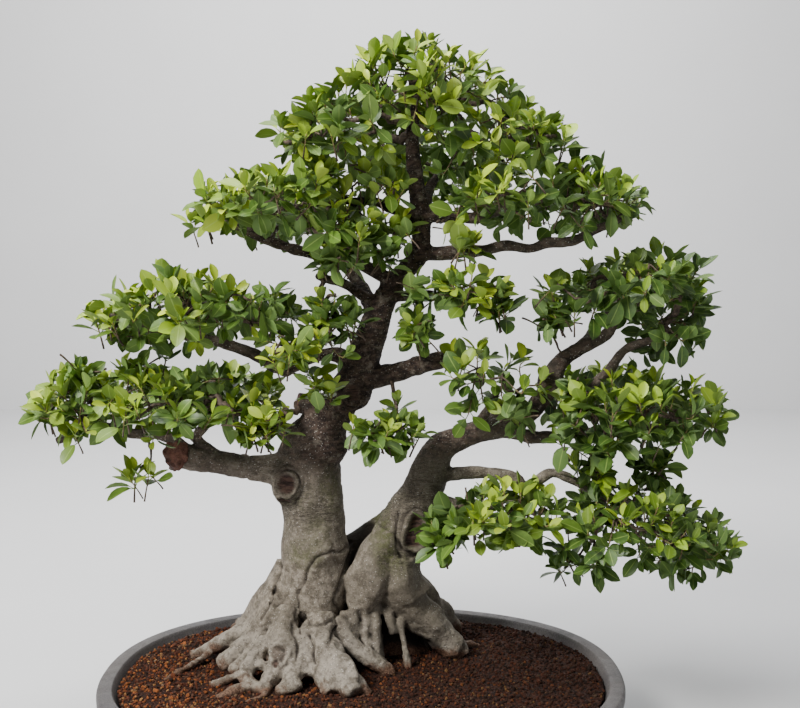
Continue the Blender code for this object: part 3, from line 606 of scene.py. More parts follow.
BRANCHES = [
    # low on the left, with a sawn end
    [(-0.09, 0.056, 0.266, 0.026), (-0.125, 0.052, 0.268, 0.0185), (-0.165, 0.047, 0.272, 0.016),
     (-0.21, 0.043, 0.282, 0.016), (-0.258, 0.04, 0.288, 0.017)],
    [(-0.228, 0.043, 0.286, 0.009), (-0.264, 0.036, 0.313, 0.008), (-0.313, 0.03, 0.319, 0.007),
     (-0.352, 0.026, 0.329, 0.006), (-0.408, 0.02, 0.312, 0.005)],
    [(-0.205, 0.044, 0.29, 0.0085), (-0.226, 0.05, 0.314, 0.007), (-0.196, 0.06, 0.342, 0.0055)],
    [(-0.17, 0.047, 0.272, 0.008), (-0.215, 0.086, 0.29, 0.0065), (-0.27, 0.122, 0.318, 0.0055)],
    # middle of the left side
    [(-0.01, 0.064, 0.412, 0.012), (-0.042, 0.058, 0.424, 0.0095), (-0.073, 0.052, 0.42, 0.009),
     (-0.108, 0.048, 0.404, 0.0085), (-0.15, 0.044, 0.427, 0.008), (-0.197, 0.042, 0.443, 0.007),
     (-0.292, 0.04, 0.462, 0.006), (-0.345, 0.04, 0.478, 0.005)],
    [(-0.086, 0.05, 0.412, 0.0085), (-0.094, 0.046, 0.442, 0.008)],
    [(-0.24, 0.041, 0.452, 0.006), (-0.255, 0.09, 0.462, 0.005)],
    # the sawn stub on the left trunk
    [(-0.04, 0.06, 0.346, 0.018), (-0.089, 0.054, 0.359, 0.015)],
    # the sawn branch between the trunks
    [(0, 0.062, 0.388, 0.015), (0.052, 0.056, 0.402, 0.013), (0.112, 0.05, 0.419, 0.012)],
    [(0.1, 0.05, 0.418, 0.006), (0.134, 0.046, 0.438, 0.005)],
    # upper left
    [(0.04, 0.064, 0.522, 0.0095), (-0.011, 0.056, 0.552, 0.008), (-0.076, 0.048, 0.562, 0.0075),
     (-0.112, 0.044, 0.572, 0.0065), (-0.14, 0.042, 0.584, 0.006), (-0.196, 0.04, 0.608, 0.005)],
    [(0.02, 0.066, 0.492, 0.008), (-0.02, 0.052, 0.514, 0.0065), (-0.06, 0.03, 0.532, 0.005)],
    [(0.076, 0.056, 0.604, 0.008), (0.024, 0.048, 0.628, 0.0065), (-0.016, 0.04, 0.63, 0.0055),
     (-0.06, 0.034, 0.65, 0.005)],
    # upper right
    [(0.078, 0.054, 0.612, 0.009), (0.146, 0.048, 0.608, 0.008), (0.186, 0.044, 0.619, 0.007),
     (0.243, 0.04, 0.632, 0.0055)],
    [(0.074, 0.06, 0.56, 0.01), (0.146, 0.05, 0.564, 0.008), (0.186, 0.046, 0.571, 0.0075),
     (0.223, 0.044, 0.566, 0.007), (0.245, 0.042, 0.576, 0.007), (0.282, 0.04, 0.577, 0.0065),
     (0.315, 0.038, 0.595, 0.0055), (0.342, 0.038, 0.606, 0.005)],
    [(0.03, 0.066, 0.5, 0.007), (0.09, 0.052, 0.506, 0.0055), (0.146, 0.044, 0.498, 0.005),
     (0.18, 0.04, 0.516, 0.0048)],
    # right trunk: low branches
    [(0.18, 0.056, 0.324, 0.011), (0.214, 0.05, 0.316, 0.009), (0.241, 0.046, 0.312, 0.0085),
     (0.288, 0.042, 0.318, 0.0075), (0.378, 0.04, 0.326, 0.006), (0.44, 0.04, 0.334, 0.005)],
    [(0.086, 0.066, 0.252, 0.012), (0.14, 0.056, 0.262, 0.0085), (0.2, 0.048, 0.259, 0.0075),
     (0.222, 0.044, 0.244, 0.007), (0.238, 0.042, 0.254, 0.007), (0.266, 0.04, 0.264, 0.0065),
     (0.33, 0.038, 0.232, 0.006), (0.41, 0.038, 0.208, 0.005)],
    [(0.072, 0.066, 0.222, 0.011), (0.11, 0.05, 0.226, 0.008), (0.146, 0.036, 0.216, 0.0065),
     (0.196, 0.022, 0.232, 0.006), (0.232, 0.012, 0.23, 0.005)],
    [(0.252, 0.052, 0.38, 0.008), (0.3, 0.044, 0.374, 0.007), (0.352, 0.04, 0.43, 0.006),
     (0.4, 0.038, 0.45, 0.005)],
    [(0.145, 0.06, 0.314, 0.008), (0.17, 0.052, 0.352, 0.0055), (0.184, 0.046, 0.382, 0.0048)],
    # towards the back
    [(0.018, 0.066, 0.48, 0.011), (-0.026, 0.124, 0.546, 0.0085), (-0.076, 0.184, 0.594, 0.0065),
     (-0.12, 0.226, 0.616, 0.005)],
    [(-0.074, 0.06, 0.286, 0.015), (-0.124, 0.13, 0.318, 0.0095), (-0.174, 0.19, 0.336, 0.0065),
     (-0.216, 0.224, 0.348, 0.005)],
    [(0.104, 0.064, 0.29, 0.014), (0.15, 0.13, 0.31, 0.0095), (0.23, 0.192, 0.332, 0.007),
     (0.326, 0.232, 0.348, 0.005)],
    [(0.076, 0.056, 0.6, 0.009), (0.088, 0.12, 0.644, 0.007), (0.104, 0.186, 0.676, 0.005)],
    [(0.3, 0.054, 0.436, 0.0085), (0.338, 0.12, 0.472, 0.0065), (0.378, 0.186, 0.498, 0.005)],
]
ROOTS = [
    # the left trunk's outer flares, ending in thin toes
    [(-0.104, 0.064, 0.128, 0.019), (-0.128, 0.078, 0.086, 0.02), (-0.154, 0.098, 0.048, 0.019),
     (-0.172, 0.118, 0.02, 0.015), (-0.188, 0.13, 0, 0.01)],
    [(-0.11, 0.052, 0.09, 0.024), (-0.135, 0.053, 0.054, 0.021), (-0.165, 0.058, 0.035, 0.014),
     (-0.196, 0.06, 0.021, 0.011), (-0.222, 0.063, 0.01, 0.0095), (-0.242, 0.064, 0, 0.007)],
    [(-0.15, 0.08, 0.036, 0.012), (-0.184, 0.102, 0.019, 0.009), (-0.212, 0.118, 0.004, 0.0065)],
    [(-0.112, 0.03, 0.08, 0.022), (-0.132, 0.028, 0.052, 0.0195), (-0.152, 0.027, 0.034, 0.016),
     (-0.174, 0.024, 0.018, 0.014), (-0.194, 0.018, 0.002, 0.011)],
    [(-0.146, 0.014, 0.03, 0.011), (-0.16, 0, 0.016, 0.0095), (-0.172, -0.008, 0.002, 0.008)],
    # the bulb that bears the scar
    [(-0.098, 0.016, 0.086, 0.016), (-0.104, 0.002, 0.064, 0.0175), (-0.101, -0.014, 0.044, 0.0215),
     (-0.106, -0.028, 0.027, 0.0195), (-0.117, -0.042, 0.013, 0.013), (-0.125, -0.053, 0.002, 0.0085)],
    # the looped root beside it, and a nub inside the loop
    [(-0.128, -0.002, 0.046, 0.0125), (-0.141, -0.02, 0.03, 0.01), (-0.151, -0.036, 0.015, 0.009),
     (-0.15, -0.048, 0.007, 0.0088), (-0.138, -0.056, 0.004, 0.0082), (-0.126, -0.06, 0.001, 0.0075)],
    [(-0.131, -0.026, 0.026, 0.0072), (-0.134, -0.034, 0.02, 0.0068)],
    # low dark toes in the soil at the front left
    [(-0.15, -0.03, 0.012, 0.0065), (-0.172, -0.036, 0.007, 0.006), (-0.196, -0.042, 0, 0.005)],
    [(-0.138, -0.054, 0.004, 0.008), (-0.16, -0.068, 0.004, 0.008), (-0.184, -0.08, -0.003, 0.006)],
    # the knob and the big foot at the front
    [(-0.078, 0, 0.058, 0.015), (-0.079, -0.02, 0.037, 0.014), (-0.084, -0.04, 0.024, 0.0128),
     (-0.089, -0.056, 0.013, 0.0128), (-0.083, -0.068, 0.003, 0.011)],
    [(-0.094, -0.054, 0.008, 0.0085), (-0.103, -0.072, 0, 0.008)],
    [(-0.058, 0.014, 0.074, 0.02), (-0.056, -0.008, 0.052, 0.019), (-0.04, -0.032, 0.036, 0.019),
     (-0.022, -0.056, 0.019, 0.018), (-0.008, -0.078, 0.003, 0.014)],
    [(-0.056, -0.02, 0.032, 0.015), (-0.046, -0.05, 0.014, 0.015), (-0.036, -0.074, 0, 0.012)],
    # small knuckles among the toes
    [(-0.116, 0.004, 0.06, 0.011), (-0.12, -0.01, 0.05, 0.009)],
    [(-0.09, -0.01, 0.05, 0.012), (-0.088, -0.026, 0.036, 0.01)],
    [(-0.068, -0.03, 0.028, 0.011), (-0.07, -0.046, 0.014, 0.009)],
    [(-0.138, 0.018, 0.044, 0.01), (-0.15, 0.008, 0.03, 0.0085)],
    [(-0.016, -0.05, 0.018, 0.011), (0.002, -0.062, 0.007, 0.0085), (0.012, -0.068, -0.002, 0.007)],
    [(-0.036, 0.018, 0.07, 0.016), (-0.022, 0.01, 0.046, 0.014), (-0.004, 0.004, 0.03, 0.011),
     (0.014, 0.002, 0.019, 0.011), (0.03, -0.001, 0.006, 0.01), (0.038, -0.004, -0.003, 0.0075)],
    # small knotted roots in the hollow between the trunks
    [(-0.02, 0.028, 0.078, 0.012), (-0.016, 0.022, 0.06, 0.0115), (-0.012, 0.018, 0.044, 0.0085)],
    [(0.002, 0.04, 0.08, 0.0095), (0.004, 0.026, 0.056, 0.0085), (0.006, 0.018, 0.032, 0.009),
     (0.01, 0.012, 0.012, 0.008)],
    [(0.014, 0.042, 0.08, 0.008), (0.018, 0.028, 0.054, 0.0075), (0.018, 0.02, 0.028, 0.01),
     (0.02, 0.014, 0.01, 0.007)],
    [(0.032, 0.044, 0.074, 0.0075), (0.038, 0.034, 0.056, 0.0055), (0.042, 0.03, 0.044, 0.005)],
    [(0.05, 0.044, 0.06, 0.006), (0.055, 0.028, 0.034, 0.0048), (0.06, 0.018, 0.01, 0.005),
     (0.062, 0.014, -0.004, 0.0045)],
    # thin roots over the surface
    [(-0.206, 0.062, 0.012, 0.005), (-0.224, 0.034, 0.006, 0.0045), (-0.24, 0.006, 0.003, 0.004),
     (-0.262, -0.02, -0.002, 0.0032)],
    [(-0.12, -0.058, 0.002, 0.005), (-0.124, -0.078, 0.001, 0.0042), (-0.146, -0.094, -0.002, 0.0034)],
    [(0.128, 0.078, 0.016, 0.0065), (0.146, 0.096, 0.006, 0.0055), (0.166, 0.11, -0.002, 0.004)],
    # the right trunk's left lobe and its stout roots
    [(0.038, 0.054, 0.18, 0.022), (0.018, 0.048, 0.144, 0.027), (0.004, 0.046, 0.112, 0.028),
     (-0.001, 0.046, 0.088, 0.024), (0.004, 0.052, 0.066, 0.016)],
    [(0.052, 0.056, 0.15, 0.03), (0.05, 0.056, 0.118, 0.033), (0.06, 0.06, 0.09, 0.031)],
    [(0.046, 0.066, 0.11, 0.034), (0.06, 0.064, 0.08, 0.032), (0.084, 0.063, 0.055, 0.026),
     (0.106, 0.062, 0.034, 0.0215), (0.124, 0.062, 0.017, 0.0175), (0.136, 0.064, 0.003, 0.0125)],
    [(0.06, 0.082, 0.106, 0.024), (0.09, 0.108, 0.064, 0.02), (0.112, 0.136, 0.034, 0.0165),
     (0.126, 0.16, 0.012, 0.013), (0.134, 0.176, -0.002, 0.009)],
    # under the right trunk and at the back
    [(0.04, 0.09, 0.07, 0.036), (0.052, 0.106, 0.02, 0.03), (0.056, 0.112, -0.01, 0.026)],
    [(0.008, 0.096, 0.09, 0.032), (0, 0.108, 0.04, 0.028), (-0.004, 0.118, -0.01, 0.024)],
    [(0.03, 0.11, 0.08, 0.032), (0.042, 0.146, 0.04, 0.023), (0.054, 0.19, 0.004, 0.014),
     (0.062, 0.214, -0.01, 0.009)],
    [(0.05, 0.1, 0.08, 0.02), (0.076, 0.128, 0.044, 0.017), (0.108, 0.17, 0.014, 0.012),
     (0.142, 0.21, -0.008, 0.008)],
    [(-0.09, 0.09, 0.11, 0.026), (-0.12, 0.12, 0.064, 0.024), (-0.158, 0.156, 0.024, 0.017),
     (-0.2, 0.19, -0.004, 0.01)],
    [(-0.04, 0.1, 0.13, 0.026), (-0.044, 0.128, 0.072, 0.027), (-0.048, 0.172, 0.026, 0.021),
     (-0.05, 0.222, -0.004, 0.011)],
    [(0.016, 0.11, 0.11, 0.02), (0.016, 0.138, 0.056, 0.018), (0.022, 0.18, 0.018, 0.013),
     (0.03, 0.216, -0.004, 0.008)],
    # the web of wood behind the fork of the trunks
    [(-0.04, 0.09, 0.112, 0.032), (-0.012, 0.096, 0.148, 0.022), (0.014, 0.096, 0.172, 0.015),
     (0.046, 0.084, 0.2, 0.014)],
]
# Where the roots meet: middle and half sizes.
ROOT_CROWNS = [((-0.086, 0.066, 0.002), (0.070, 0.070, 0.048)),
               ((0.036, 0.122, 0.000), (0.080, 0.060, 0.034))]

# Swellings on the trunks: middle and half sizes.
BULGES = [
    ((-0.096, 0.046, 0.258), (0.03, 0.026, 0.036)),
    ((-0.06, 0.056, 0.3), (0.04, 0.036, 0.034)),
    ((0.07, 0.056, 0.184), (0.026, 0.024, 0.036)),
    ((-0.016, 0.064, 0.376), (0.028, 0.026, 0.03)),
    ((0.254, 0.052, 0.388), (0.018, 0.017, 0.02)),
    ((-0.104, 0.046, 0.406), (0.012, 0.012, 0.012)),
    ((-0.098, 0.034, 0.252), (0.026, 0.024, 0.03)),
    ((-0.018, 0.026, 0.064), (0.0125, 0.012, 0.016)),
    ((-0.06, -0.004, 0.062), (0.02, 0.018, 0.014)),
]
# Lines where grown-together stems meet, as x, z on the front of the trunks.
CREASES = [
    [(-0.02, 0.156), (-0.044, 0.16), (-0.062, 0.154), (-0.072, 0.14), (-0.078, 0.12), (-0.089, 0.1),
     (-0.088, 0.074), (-0.08, 0.062)],
    [(-0.112, 0.134), (-0.119, 0.11), (-0.126, 0.088), (-0.138, 0.07)],
    [(-0.02, 0.15), (-0.03, 0.12), (-0.039, 0.094), (-0.034, 0.066), (-0.044, 0.052)],
    [(-0.084, 0.078), (-0.062, 0.07), (-0.04, 0.072)],
    [(-0.07, 0.06), (-0.064, 0.044), (-0.06, 0.03)],
    [(0.046, 0.21), (0.044, 0.186), (0.052, 0.16)],
    [(-0.094, 0.07), (-0.086, 0.056), (-0.084, 0.036)],
]
# Healed and open scars: middle on the bark, half width and height, lip, depth, darkness.
SCARS = [
    ((0.071, 0.03, 0.183), 0.013, 0.025, 0.0045, 0.004, 1),
    ((-0.106, -0.036, 0.04), 0.0105, 0.012, 0.003, 0.0026, 0.45),
    ((-0.111, -0.044, 0.03), 0.0048, 0.006, 0.0022, 0.003, 0.9),
    ((-0.1, 0.012, 0.254), 0.0105, 0.014, 0.0034, 0.004, 1),
    ((-0.104, 0.014, 0.23), 0.012, 0.006, 0.0022, 0.0024, 0.85),
    ((-0.014, 0.036, 0.372), 0.009, 0.012, 0.002, 0.003, 0.8),
    ((-0.066, 0.1, 0.21), 0.014, 0.022, 0.003, 0.003, 0.7),
]
# Soft ovals on the wood: middle, half sizes and strength.
# painted shade in the dark hollows between and behind the trunks
PAINTED_SHADE_OVALS = [
    ((0.024, 0.052, 0.03), (0.034, 0.04, 0.04), 0.85),
    ((0.072, 0.066, 0.006), (0.048, 0.05, 0.034), 0.95),
    ((-0.012, 0.06, 0.11), (0.012, 0.026, 0.06), 0.9),
    ((0, 0.084, 0.16), (0.03, 0.016, 0.03), 1),
]
DAMP_BARK = [
    ((-0.078, 0.02, 0.19), (0.042, 0.04, 0.062), 0.75),
    ((0.04, 0.046, 0.17), (0.034, 0.046, 0.07), 1),
    ((-0.04, 0.03, 0.24), (0.034, 0.04, 0.05), 0.55),
    ((0.028, 0.09, 0.196), (0.06, 0.026, 0.02), 1),
]
# The knot: darker bark with painted shade over it.
KNOT_BARK_AND_SHADE = ((-0.104, 0.016, 0.240), (0.030, 0.030, 0.034), 1.0)
SAWN = [0, 7, 8]  # the branches that end in a flat saw cut
WOOD_VOXEL = 0.0023
MOST_WOOD_TRIANGLES = 188000  # what the fused skin is thinned to


def brownness(spots):
    """How much of the bark is the dark upper kind. The trunks' tops are the darkest."""
    x, z = spots[:, 0], spots[:, 2]
    side = np.clip((np.abs(x - 0.03) - 0.04) / 0.10, 0, 1)
    start = np.where(x < -0.005, 0.214, 0.240)
    return np.clip((z - start) / 0.080, 0.0, 1.0) * (1 - 0.34 * side)


def line_distance(u, v, knots):
    """How far each u, v is from a line of straight parts."""
    best = np.full(len(u), np.inf)
    for (ax, ay), (bx, by) in zip(knots, knots[1:]):
        dx, dy = bx - ax, by - ay
        t = np.clip(((u - ax) * dx + (v - ay) * dy) / (dx * dx + dy * dy), 0, 1)
        best = np.minimum(best, np.hypot(u - ax - t * dx, v - ay - t * dy))
    return best


def shallow(line, depth=0.016):
    line = np.array(line, float)
    line[:, 2] = np.maximum(line[:, 2], -depth)
    return line


def fluted(line, seed):
    """A trunk line with slight swings in its width."""
    line = line.copy()
    swing = [noise.noise(Vector((p[2] * 22 + seed, seed, 0))) for p in line]
    line[:, 3] *= 1 + 0.07 * np.array(swing)
    return line


def run_along(line):
    """How far along the line each of its points is."""
    return np.concatenate([[0], np.cumsum(np.linalg.norm(np.diff(line[:, :3], axis=0), axis=1))])


def collar(line):
    """The first stretch of a branch, flared where it leaves the trunk and then fading out."""
    reach = 0.030 + 2.2 * line[0, 3]
    stop = max(4, int(np.searchsorted(run_along(line), reach)))
    short = line[:stop].copy()
    share = np.linspace(0, 1, stop)
    short[:, 3] *= 1.30 * (1 - share) ** 2 + 1 - (1 - share) ** 2
    short[:, 3] *= np.clip((1 - share) * 4, 0.30, 1.0)
    return short


def wood_skin():
    """Trunks, swellings, roots and branch collars, fused into one skin."""
    body = Body()
    for number, line in enumerate((LEFT_TRUNK, RIGHT_TRUNK)):
        line = fluted(smooth_line(shallow(line), 0.008), number * 5.0)
        body.tube(placed(line), 28, lumps=0.12, seed=number * 9.0)
    for number, (middle, half) in enumerate(BULGES):
        body.ball(Vector(middle) + MIDDLE, half, lumps=0.10, seed=number * 4.0, detail=4)
    for number, line in enumerate(ROOTS):
        line = smooth_line(shallow(line, 0.014), 0.006)
        body.tube(placed(line), 18, lumps=0.30, seed=20 + number * 3.1)
    for number, line in enumerate(BRANCHES):
        short = collar(smooth_line(line, 0.006))
        body.tube(placed(short), 14, lumps=0.10, seed=70 + number * 2.3)
    for middle, half in ROOT_CROWNS:
        body.ball(Vector(middle) + MIDDLE, half, lumps=0.12, detail=5, under=0.30)
    return remeshed(body.object("trunks_and_roots"), WOOD_VOXEL, 4)


def patches(local, spots, edge, fade):
    """The strongest of some soft-edged ovals at each point. Each has a middle, half sizes
    and a strength."""
    found = np.zeros(len(local))
    for middle, half, strength in spots:
        away = np.linalg.norm((local - middle) / half, axis=1)
        found = np.maximum(found, strength * np.clip((edge - away) / fade, 0, 1))
    return found


def scar_relief(local, normals, rise):
    """Adds each scar's lip, hollow and ripples to the rise. Gives how dark each point is."""
    scarred = np.zeros(len(local))
    for middle, half_u, half_v, lip, depth, dark in SCARS:
        away = local - np.array(middle)
        near = np.linalg.norm(away, axis=1) < 2.4 * half_v
        if not near.any():
            continue
        facing = unit(normals[near].mean(axis=0))
        if middle[1] < 0.08:
            facing = unit(np.array([facing[0] * 0.5, -abs(facing[1]) - 0.4, facing[2] * 0.3]))
        across = unit(np.cross(np.array([0, 0, 1.0]), facing))
        upward = np.cross(facing, across)
        far = np.hypot(away @ across / half_u, away @ upward / half_v)
        on = near & (normals @ facing > 0.1)
        far = far + 0.12 * noise_at(local, 120, 2.0) + 0.30 * noise_at(local, 48, 11.0)
        uneven = np.clip(0.75 + 1.5 * noise_at(local, 40, 13.0), 0.15, 1.4)
        rise += on * lip * uneven * np.exp(-(((far - 1.15) / 0.26) ** 2))
        waves = np.cos((far - 1.15) * 11) * np.exp(-(((far - 1.5) / 0.6) ** 2))
        rise += on * 0.0019 * waves * (far > 1.0) * (middle[2] > 0.1)
        rise -= on * depth * np.clip((1.0 - far) / 0.35, 0, 1)
        scarred = np.maximum(scarred, on * dark * np.clip((0.98 - far) / 0.14, 0, 1))
    return scarred


def bark_relief(local, normals, neck):
    """How far the bark rises: warts on the roots, wrinkles round the trunks, creases, scars."""
    z = local[:, 2]
    rooty = np.clip((0.085 - z) / 0.05, 0.0, 1.0)
    rise = 0.0014 * noise_at(local, 24, 3.0) + 0.0010 * noise_at(local, 70, 8.0) * (0.5 + 1.3 * rooty)
    rise += 0.0011 * noise_at(local, 150, 1.0) * (0.25 + rooty)
    rise += 0.0034 * np.clip(noise_at(local, 42, 17.0), -0.2, 1) * rooty
    rings = noise_at(local, 55, 5.0, (0.6, 0.6, 6.0))
    rise += 0.0007 * rings * (1 - rooty) * (0.35 + 1.0 * neck + 0.9 * brownness(local))
    front = normals[:, 1] < 0.2
    wander = 0.0035 * noise_at(local, 60, 14.0)
    crease = np.zeros(len(local))
    for knots in CREASES:
        far = line_distance(local[:, 0] + wander, local[:, 2] + wander, knots)
        crease = np.maximum(crease, np.exp(-((far / 0.0019) ** 2)) * front)
        rise += 0.0010 * np.exp(-(((far - 0.006) / 0.0040) ** 2)) * front
    rise -= 0.0026 * crease
    scarred = scar_relief(local, normals, rise)
    return rise, crease, scarred


def painted_hollow_shade(me, points, local, crease):
    """Painted shade at each point: dark where it lies deep between its neighbours, in creases, in the
    shaded ovals between the trunks and on undersides near the soil.
    """
    normals, ends = rows(me.vertex_normals, "vector"), rows(me.edges, "vertices", 2, np.int32)
    wide = softened(points, ends, 16)
    hollow = np.einsum("ij,ij->i", wide - points, normals)
    hollow = softened(np.clip(hollow / 0.0030, 0, 1), ends, 2)
    tight = softened(points, ends, 3)
    pinch = np.clip(np.einsum("ij,ij->i", tight - points, normals) / 0.0008, 0, 1)
    deep = np.clip(0.80 * hollow + 0.34 * pinch - 0.05, 0, 1)
    deep = np.maximum(deep, 0.55 * crease)
    deep = np.maximum(deep, patches(local, PAINTED_SHADE_OVALS, 1.15, 0.4))
    # painted shade on faces that look down, near the soil
    under = np.clip(-normals[:, 2] - 0.1, 0, 1) * np.clip((0.040 - local[:, 2]) / 0.03, 0, 1)
    return np.maximum(deep, 0.8 * under)


def bark_wear_and_shade(local, neck):
    """Wrinkles, damp, the roots' paleness and painted shade at each point. The shade lies on the right
    trunk, less on the right of the left trunk, and on the knot.
    """
    x, z = local[:, 0], local[:, 2]
    wrinkled = np.clip(neck * (z > 0.12) + 0.7 * np.exp(-(((z - 0.270) / 0.040) ** 2)), 0, 1)
    wrinkled *= np.clip(0.95 + 0.9 * noise_at(local, 18, 6.0), 0, 1)
    damp = patches(local, DAMP_BARK, 1.1, 0.6)
    damp *= np.clip(0.6 + 1.6 * noise_at(local, 30, 9.0), 0, 1)
    pale = np.clip((0.075 - z) / 0.03, 0, 1) * np.clip((z - 0.006) / 0.01, 0, 1)
    # painted shade: darker on the right trunk, and less on the right of the left trunk
    painted_shade = np.clip((x + 0.004) / 0.030, 0, 1) * np.clip(z / 0.05, 0.35, 1)
    painted_shade = np.maximum(painted_shade, np.clip((x + 0.055) / 0.03, 0, 1) * 0.45 * (z > 0.07))
    # the knot: darker bark and painted shade, in the same layer as the shade
    knot = patches(local, [KNOT_BARK_AND_SHADE], 1.2, 0.7)
    knot *= np.clip(0.6 + 1.6 * noise_at(local, 60, 21.0), 0, 1)
    return np.stack([wrinkled, damp, pale, np.maximum(painted_shade, knot)], axis=1)


def make_trunks():
    wood = wood_skin()
    me = wood.data
    points, normals = rows(me.vertices, "co"), rows(me.vertex_normals, "vector")
    local = points - np.array(MIDDLE)
    z = local[:, 2]
    neck = np.exp(-(((z - 0.215) / 0.030) ** 2))
    neck += np.exp(-(((z - 0.150) / 0.016) ** 2)) * (local[:, 0] > 0.02)
    rise, crease, scarred = bark_relief(local, normals, neck)
    points = points + normals * rise[:, None]
    me.vertices.foreach_set("co", points.astype(np.float32).ravel())
    me.update()

    # painted shade in hollows, creases, between the trunks and under the roots
    deep = painted_hollow_shade(me, points, local, crease)
    tones = np.stack([deep, scarred, np.zeros(len(points)), brownness(local)], axis=1)
    paint(me, "wood_tone", tones)
    paint(me, "wood_wear_and_shade", bark_wear_and_shade(local, neck))
    fewer = wood.modifiers.new("Fewer", "DECIMATE")
    me.calc_loop_triangles()
    fewer.ratio = min(1.0, MOST_WOOD_TRIANGLES / len(me.loop_triangles))
    wood.data = baked(wood)
    wood.modifiers.clear()
    wood.data.polygons.foreach_set("use_smooth", np.ones(len(wood.data.polygons), bool))
    done(wood, "bark", "trunk_and_branches")
    return wood


def wandering(line, seed, amount):
    """A branch line with small bends and swollen joints, the same each time."""
    line = line.copy()
    run = run_along(line)
    ease = np.clip(run / 0.04, 0, 1) * np.clip((run[-1] - run) / 0.02 + 0.3, 0, 1)
    for axis in range(3):
        sway = [noise.noise(Vector((r * 26, seed + axis * 7.7, 0))) for r in run]
        line[:, axis] += amount * np.array(sway) * ease
    joints = np.array([noise.noise(Vector((r * 75, seed, 3.0))) for r in run])
    line[:, 3] *= 1 + 0.22 * np.clip(joints, -0.4, 1)
    return line


def make_branches():
    """The branches past their collars. Gives the piece and its lines of points."""
    body = Body()
    lines = []
    for number, knots in enumerate(BRANCHES):
        line = wandering(smooth_line(knots, 0.005), number * 4.1, 0.0035)
        sawn = number in SAWN
        if not sawn:
            line[-1, 3] *= 0.7
        start = placed(line)
        tone = np.zeros((len(line), 4))
        tone[:, 3] = brownness(line)
        body.tube(start, 20 if sawn else 12, tone, lumps=0.14, seed=number * 2.9,
                  end_tone=(0, 0, 1, 0) if sawn else None)
        lines.append(start)
    # the broken and healed end of the low left branch
    body.ball(MIDDLE + Vector((-0.250, 0.034, 0.290)), (0.017, 0.018, 0.0195), (0, 0, 1, 0.6),
              lumps=0.30, seed=5.0, detail=4)
    piece = body.object("branches", "wood_tone", sharp=math.radians(50))
    worn = np.zeros((len(piece.data.vertices), 4))
    worn[:, 0] = 0.35
    paint(piece.data, "wood_wear_and_shade", worn)
    done(piece, "bark")
    return piece, lines


# ------------------------------------------------------------------ leaves and twigs

STATIONS = np.array([0.0, 0.11, 0.28, 0.50, 0.71, 0.88, 1.0])
WIDTHS = np.array([0.05, 0.44, 0.82, 1.00, 0.88, 0.48, 0.0])
FOLDS = np.array([0.0, 1.15, 1.05, 1.0, 0.95, 0.8, 0.0])
TIP = 21  # the last of a blade's points
GOLDEN_ANGLE = 2.3999  # between each leaf on a shoot and the next
SHOOT_RINGS = 7
STEM_RINGS = 8
HUB_GAP = 0.034  # between the spots where shoots meet


def leaf_template():
    """Corners, face sizes, place across, side and spots on the map of a closed leaf.

    Points 0 and 21 are its base and tip. Between them each station has its left edge,
    right edge, upper midrib and lower midrib.
    """
    corners, counts, across, under, uvs = [], [], [], [], []

    def spot(point, side):
        station = 0 if point == 0 else 6 if point == TIP else (point - 1) // 4 + 1
        part = 2 if point in (0, TIP) else (point - 1) % 4
        shift = 0.0 if part > 1 else (-0.20 if part == 0 else 0.20) * WIDTHS[station]
        return (0.25 + 0.5 * side + shift, 0.06 + 0.90 * STATIONS[station])

    def face(points, side):
        corners.extend(points)
        counts.append(len(points))
        for point in points:
            middle = point in (0, TIP) or (point - 1) % 4 > 1
            across.append(0.0 if middle else 1.0)
            under.append(float(side))
            uvs.append(spot(point, side))

    for left, right, top, low in (range(k, k + 4) for k in range(1, TIP, 4)):
        if left == 1:
            for points, side in (((0, top, left), 0), ((0, right, top), 0),
                                 ((0, left, low), 1), ((0, low, right), 1)):
                face(points, side)
        if low == TIP - 1:
            for points, side in (((left, top, TIP), 0), ((top, right, TIP), 0),
                                 ((left, TIP, low), 1), ((low, TIP, right), 1)):
                face(points, side)
            continue
        a, b, c, d = left + 4, right + 4, top + 4, low + 4
        for points, side in (((left, top, c, a), 0), ((top, right, b, c), 0),
                             ((low, left, a, d), 1), ((right, low, d, b), 1)):
            face(points, side)
    return [np.array(v) for v in (corners, counts, across, under, uvs)]


def leaf_points(base, axis, up, length, width, fold, curl, twist):
    """The points of each leaf, in the order of its template."""
    up = unit(up - axis * np.sum(up * axis, axis=1, keepdims=True))
    across = np.cross(axis, up)
    bend = np.maximum(np.abs(curl), 0.05) * np.where(curl < 0, -1, 1)
    out = np.empty((len(base), TIP + 1, 3))

    def along(t):
        angle = bend * t
        ahead, drop = np.sin(angle) / bend, (1 - np.cos(angle)) / bend
        place = base + (axis * ahead[:, None] - up * drop[:, None]) * length[:, None]
        face = up * np.cos(angle)[:, None] + axis * np.sin(angle)[:, None]
        return place, face

    out[:, 0] = along(0.0)[0]
    out[:, TIP] = along(1.0)[0]
    for i in range(1, 6):
        place, face = along(STATIONS[i])
        half = (width * WIDTHS[i] / 2)[:, None]
        for k, sign in ((0, -1), (1, 1)):
            angle = (fold * FOLDS[i] + sign * twist * (STATIONS[i] - 0.3))[:, None]
            edge = place + across * (sign * half * np.cos(angle)) + face * half * np.sin(angle)
            out[:, 1 + 4 * (i - 1) + k] = edge
        out[:, 3 + 4 * (i - 1)] = place
        out[:, 4 + 4 * (i - 1)] = place - face * (0.016 * length)[:, None]
    return out


LEAF_LENGTH = 0.0335
SHOOTS_PER_M2 = 1180
# How much younger the leaves of some masses are.
FRESHER = {"foliage_crown": 0.20, "foliage_right_middle": -0.12}
# Foliage masses whose leaves stand further apart.
THIN = {"foliage_inner_left": 0.75, "foliage_left_tuft": 0.8, "foliage_centre_low": 0.6,
        "foliage_centre_right": 0.7, "foliage_inner_right": 0.45}
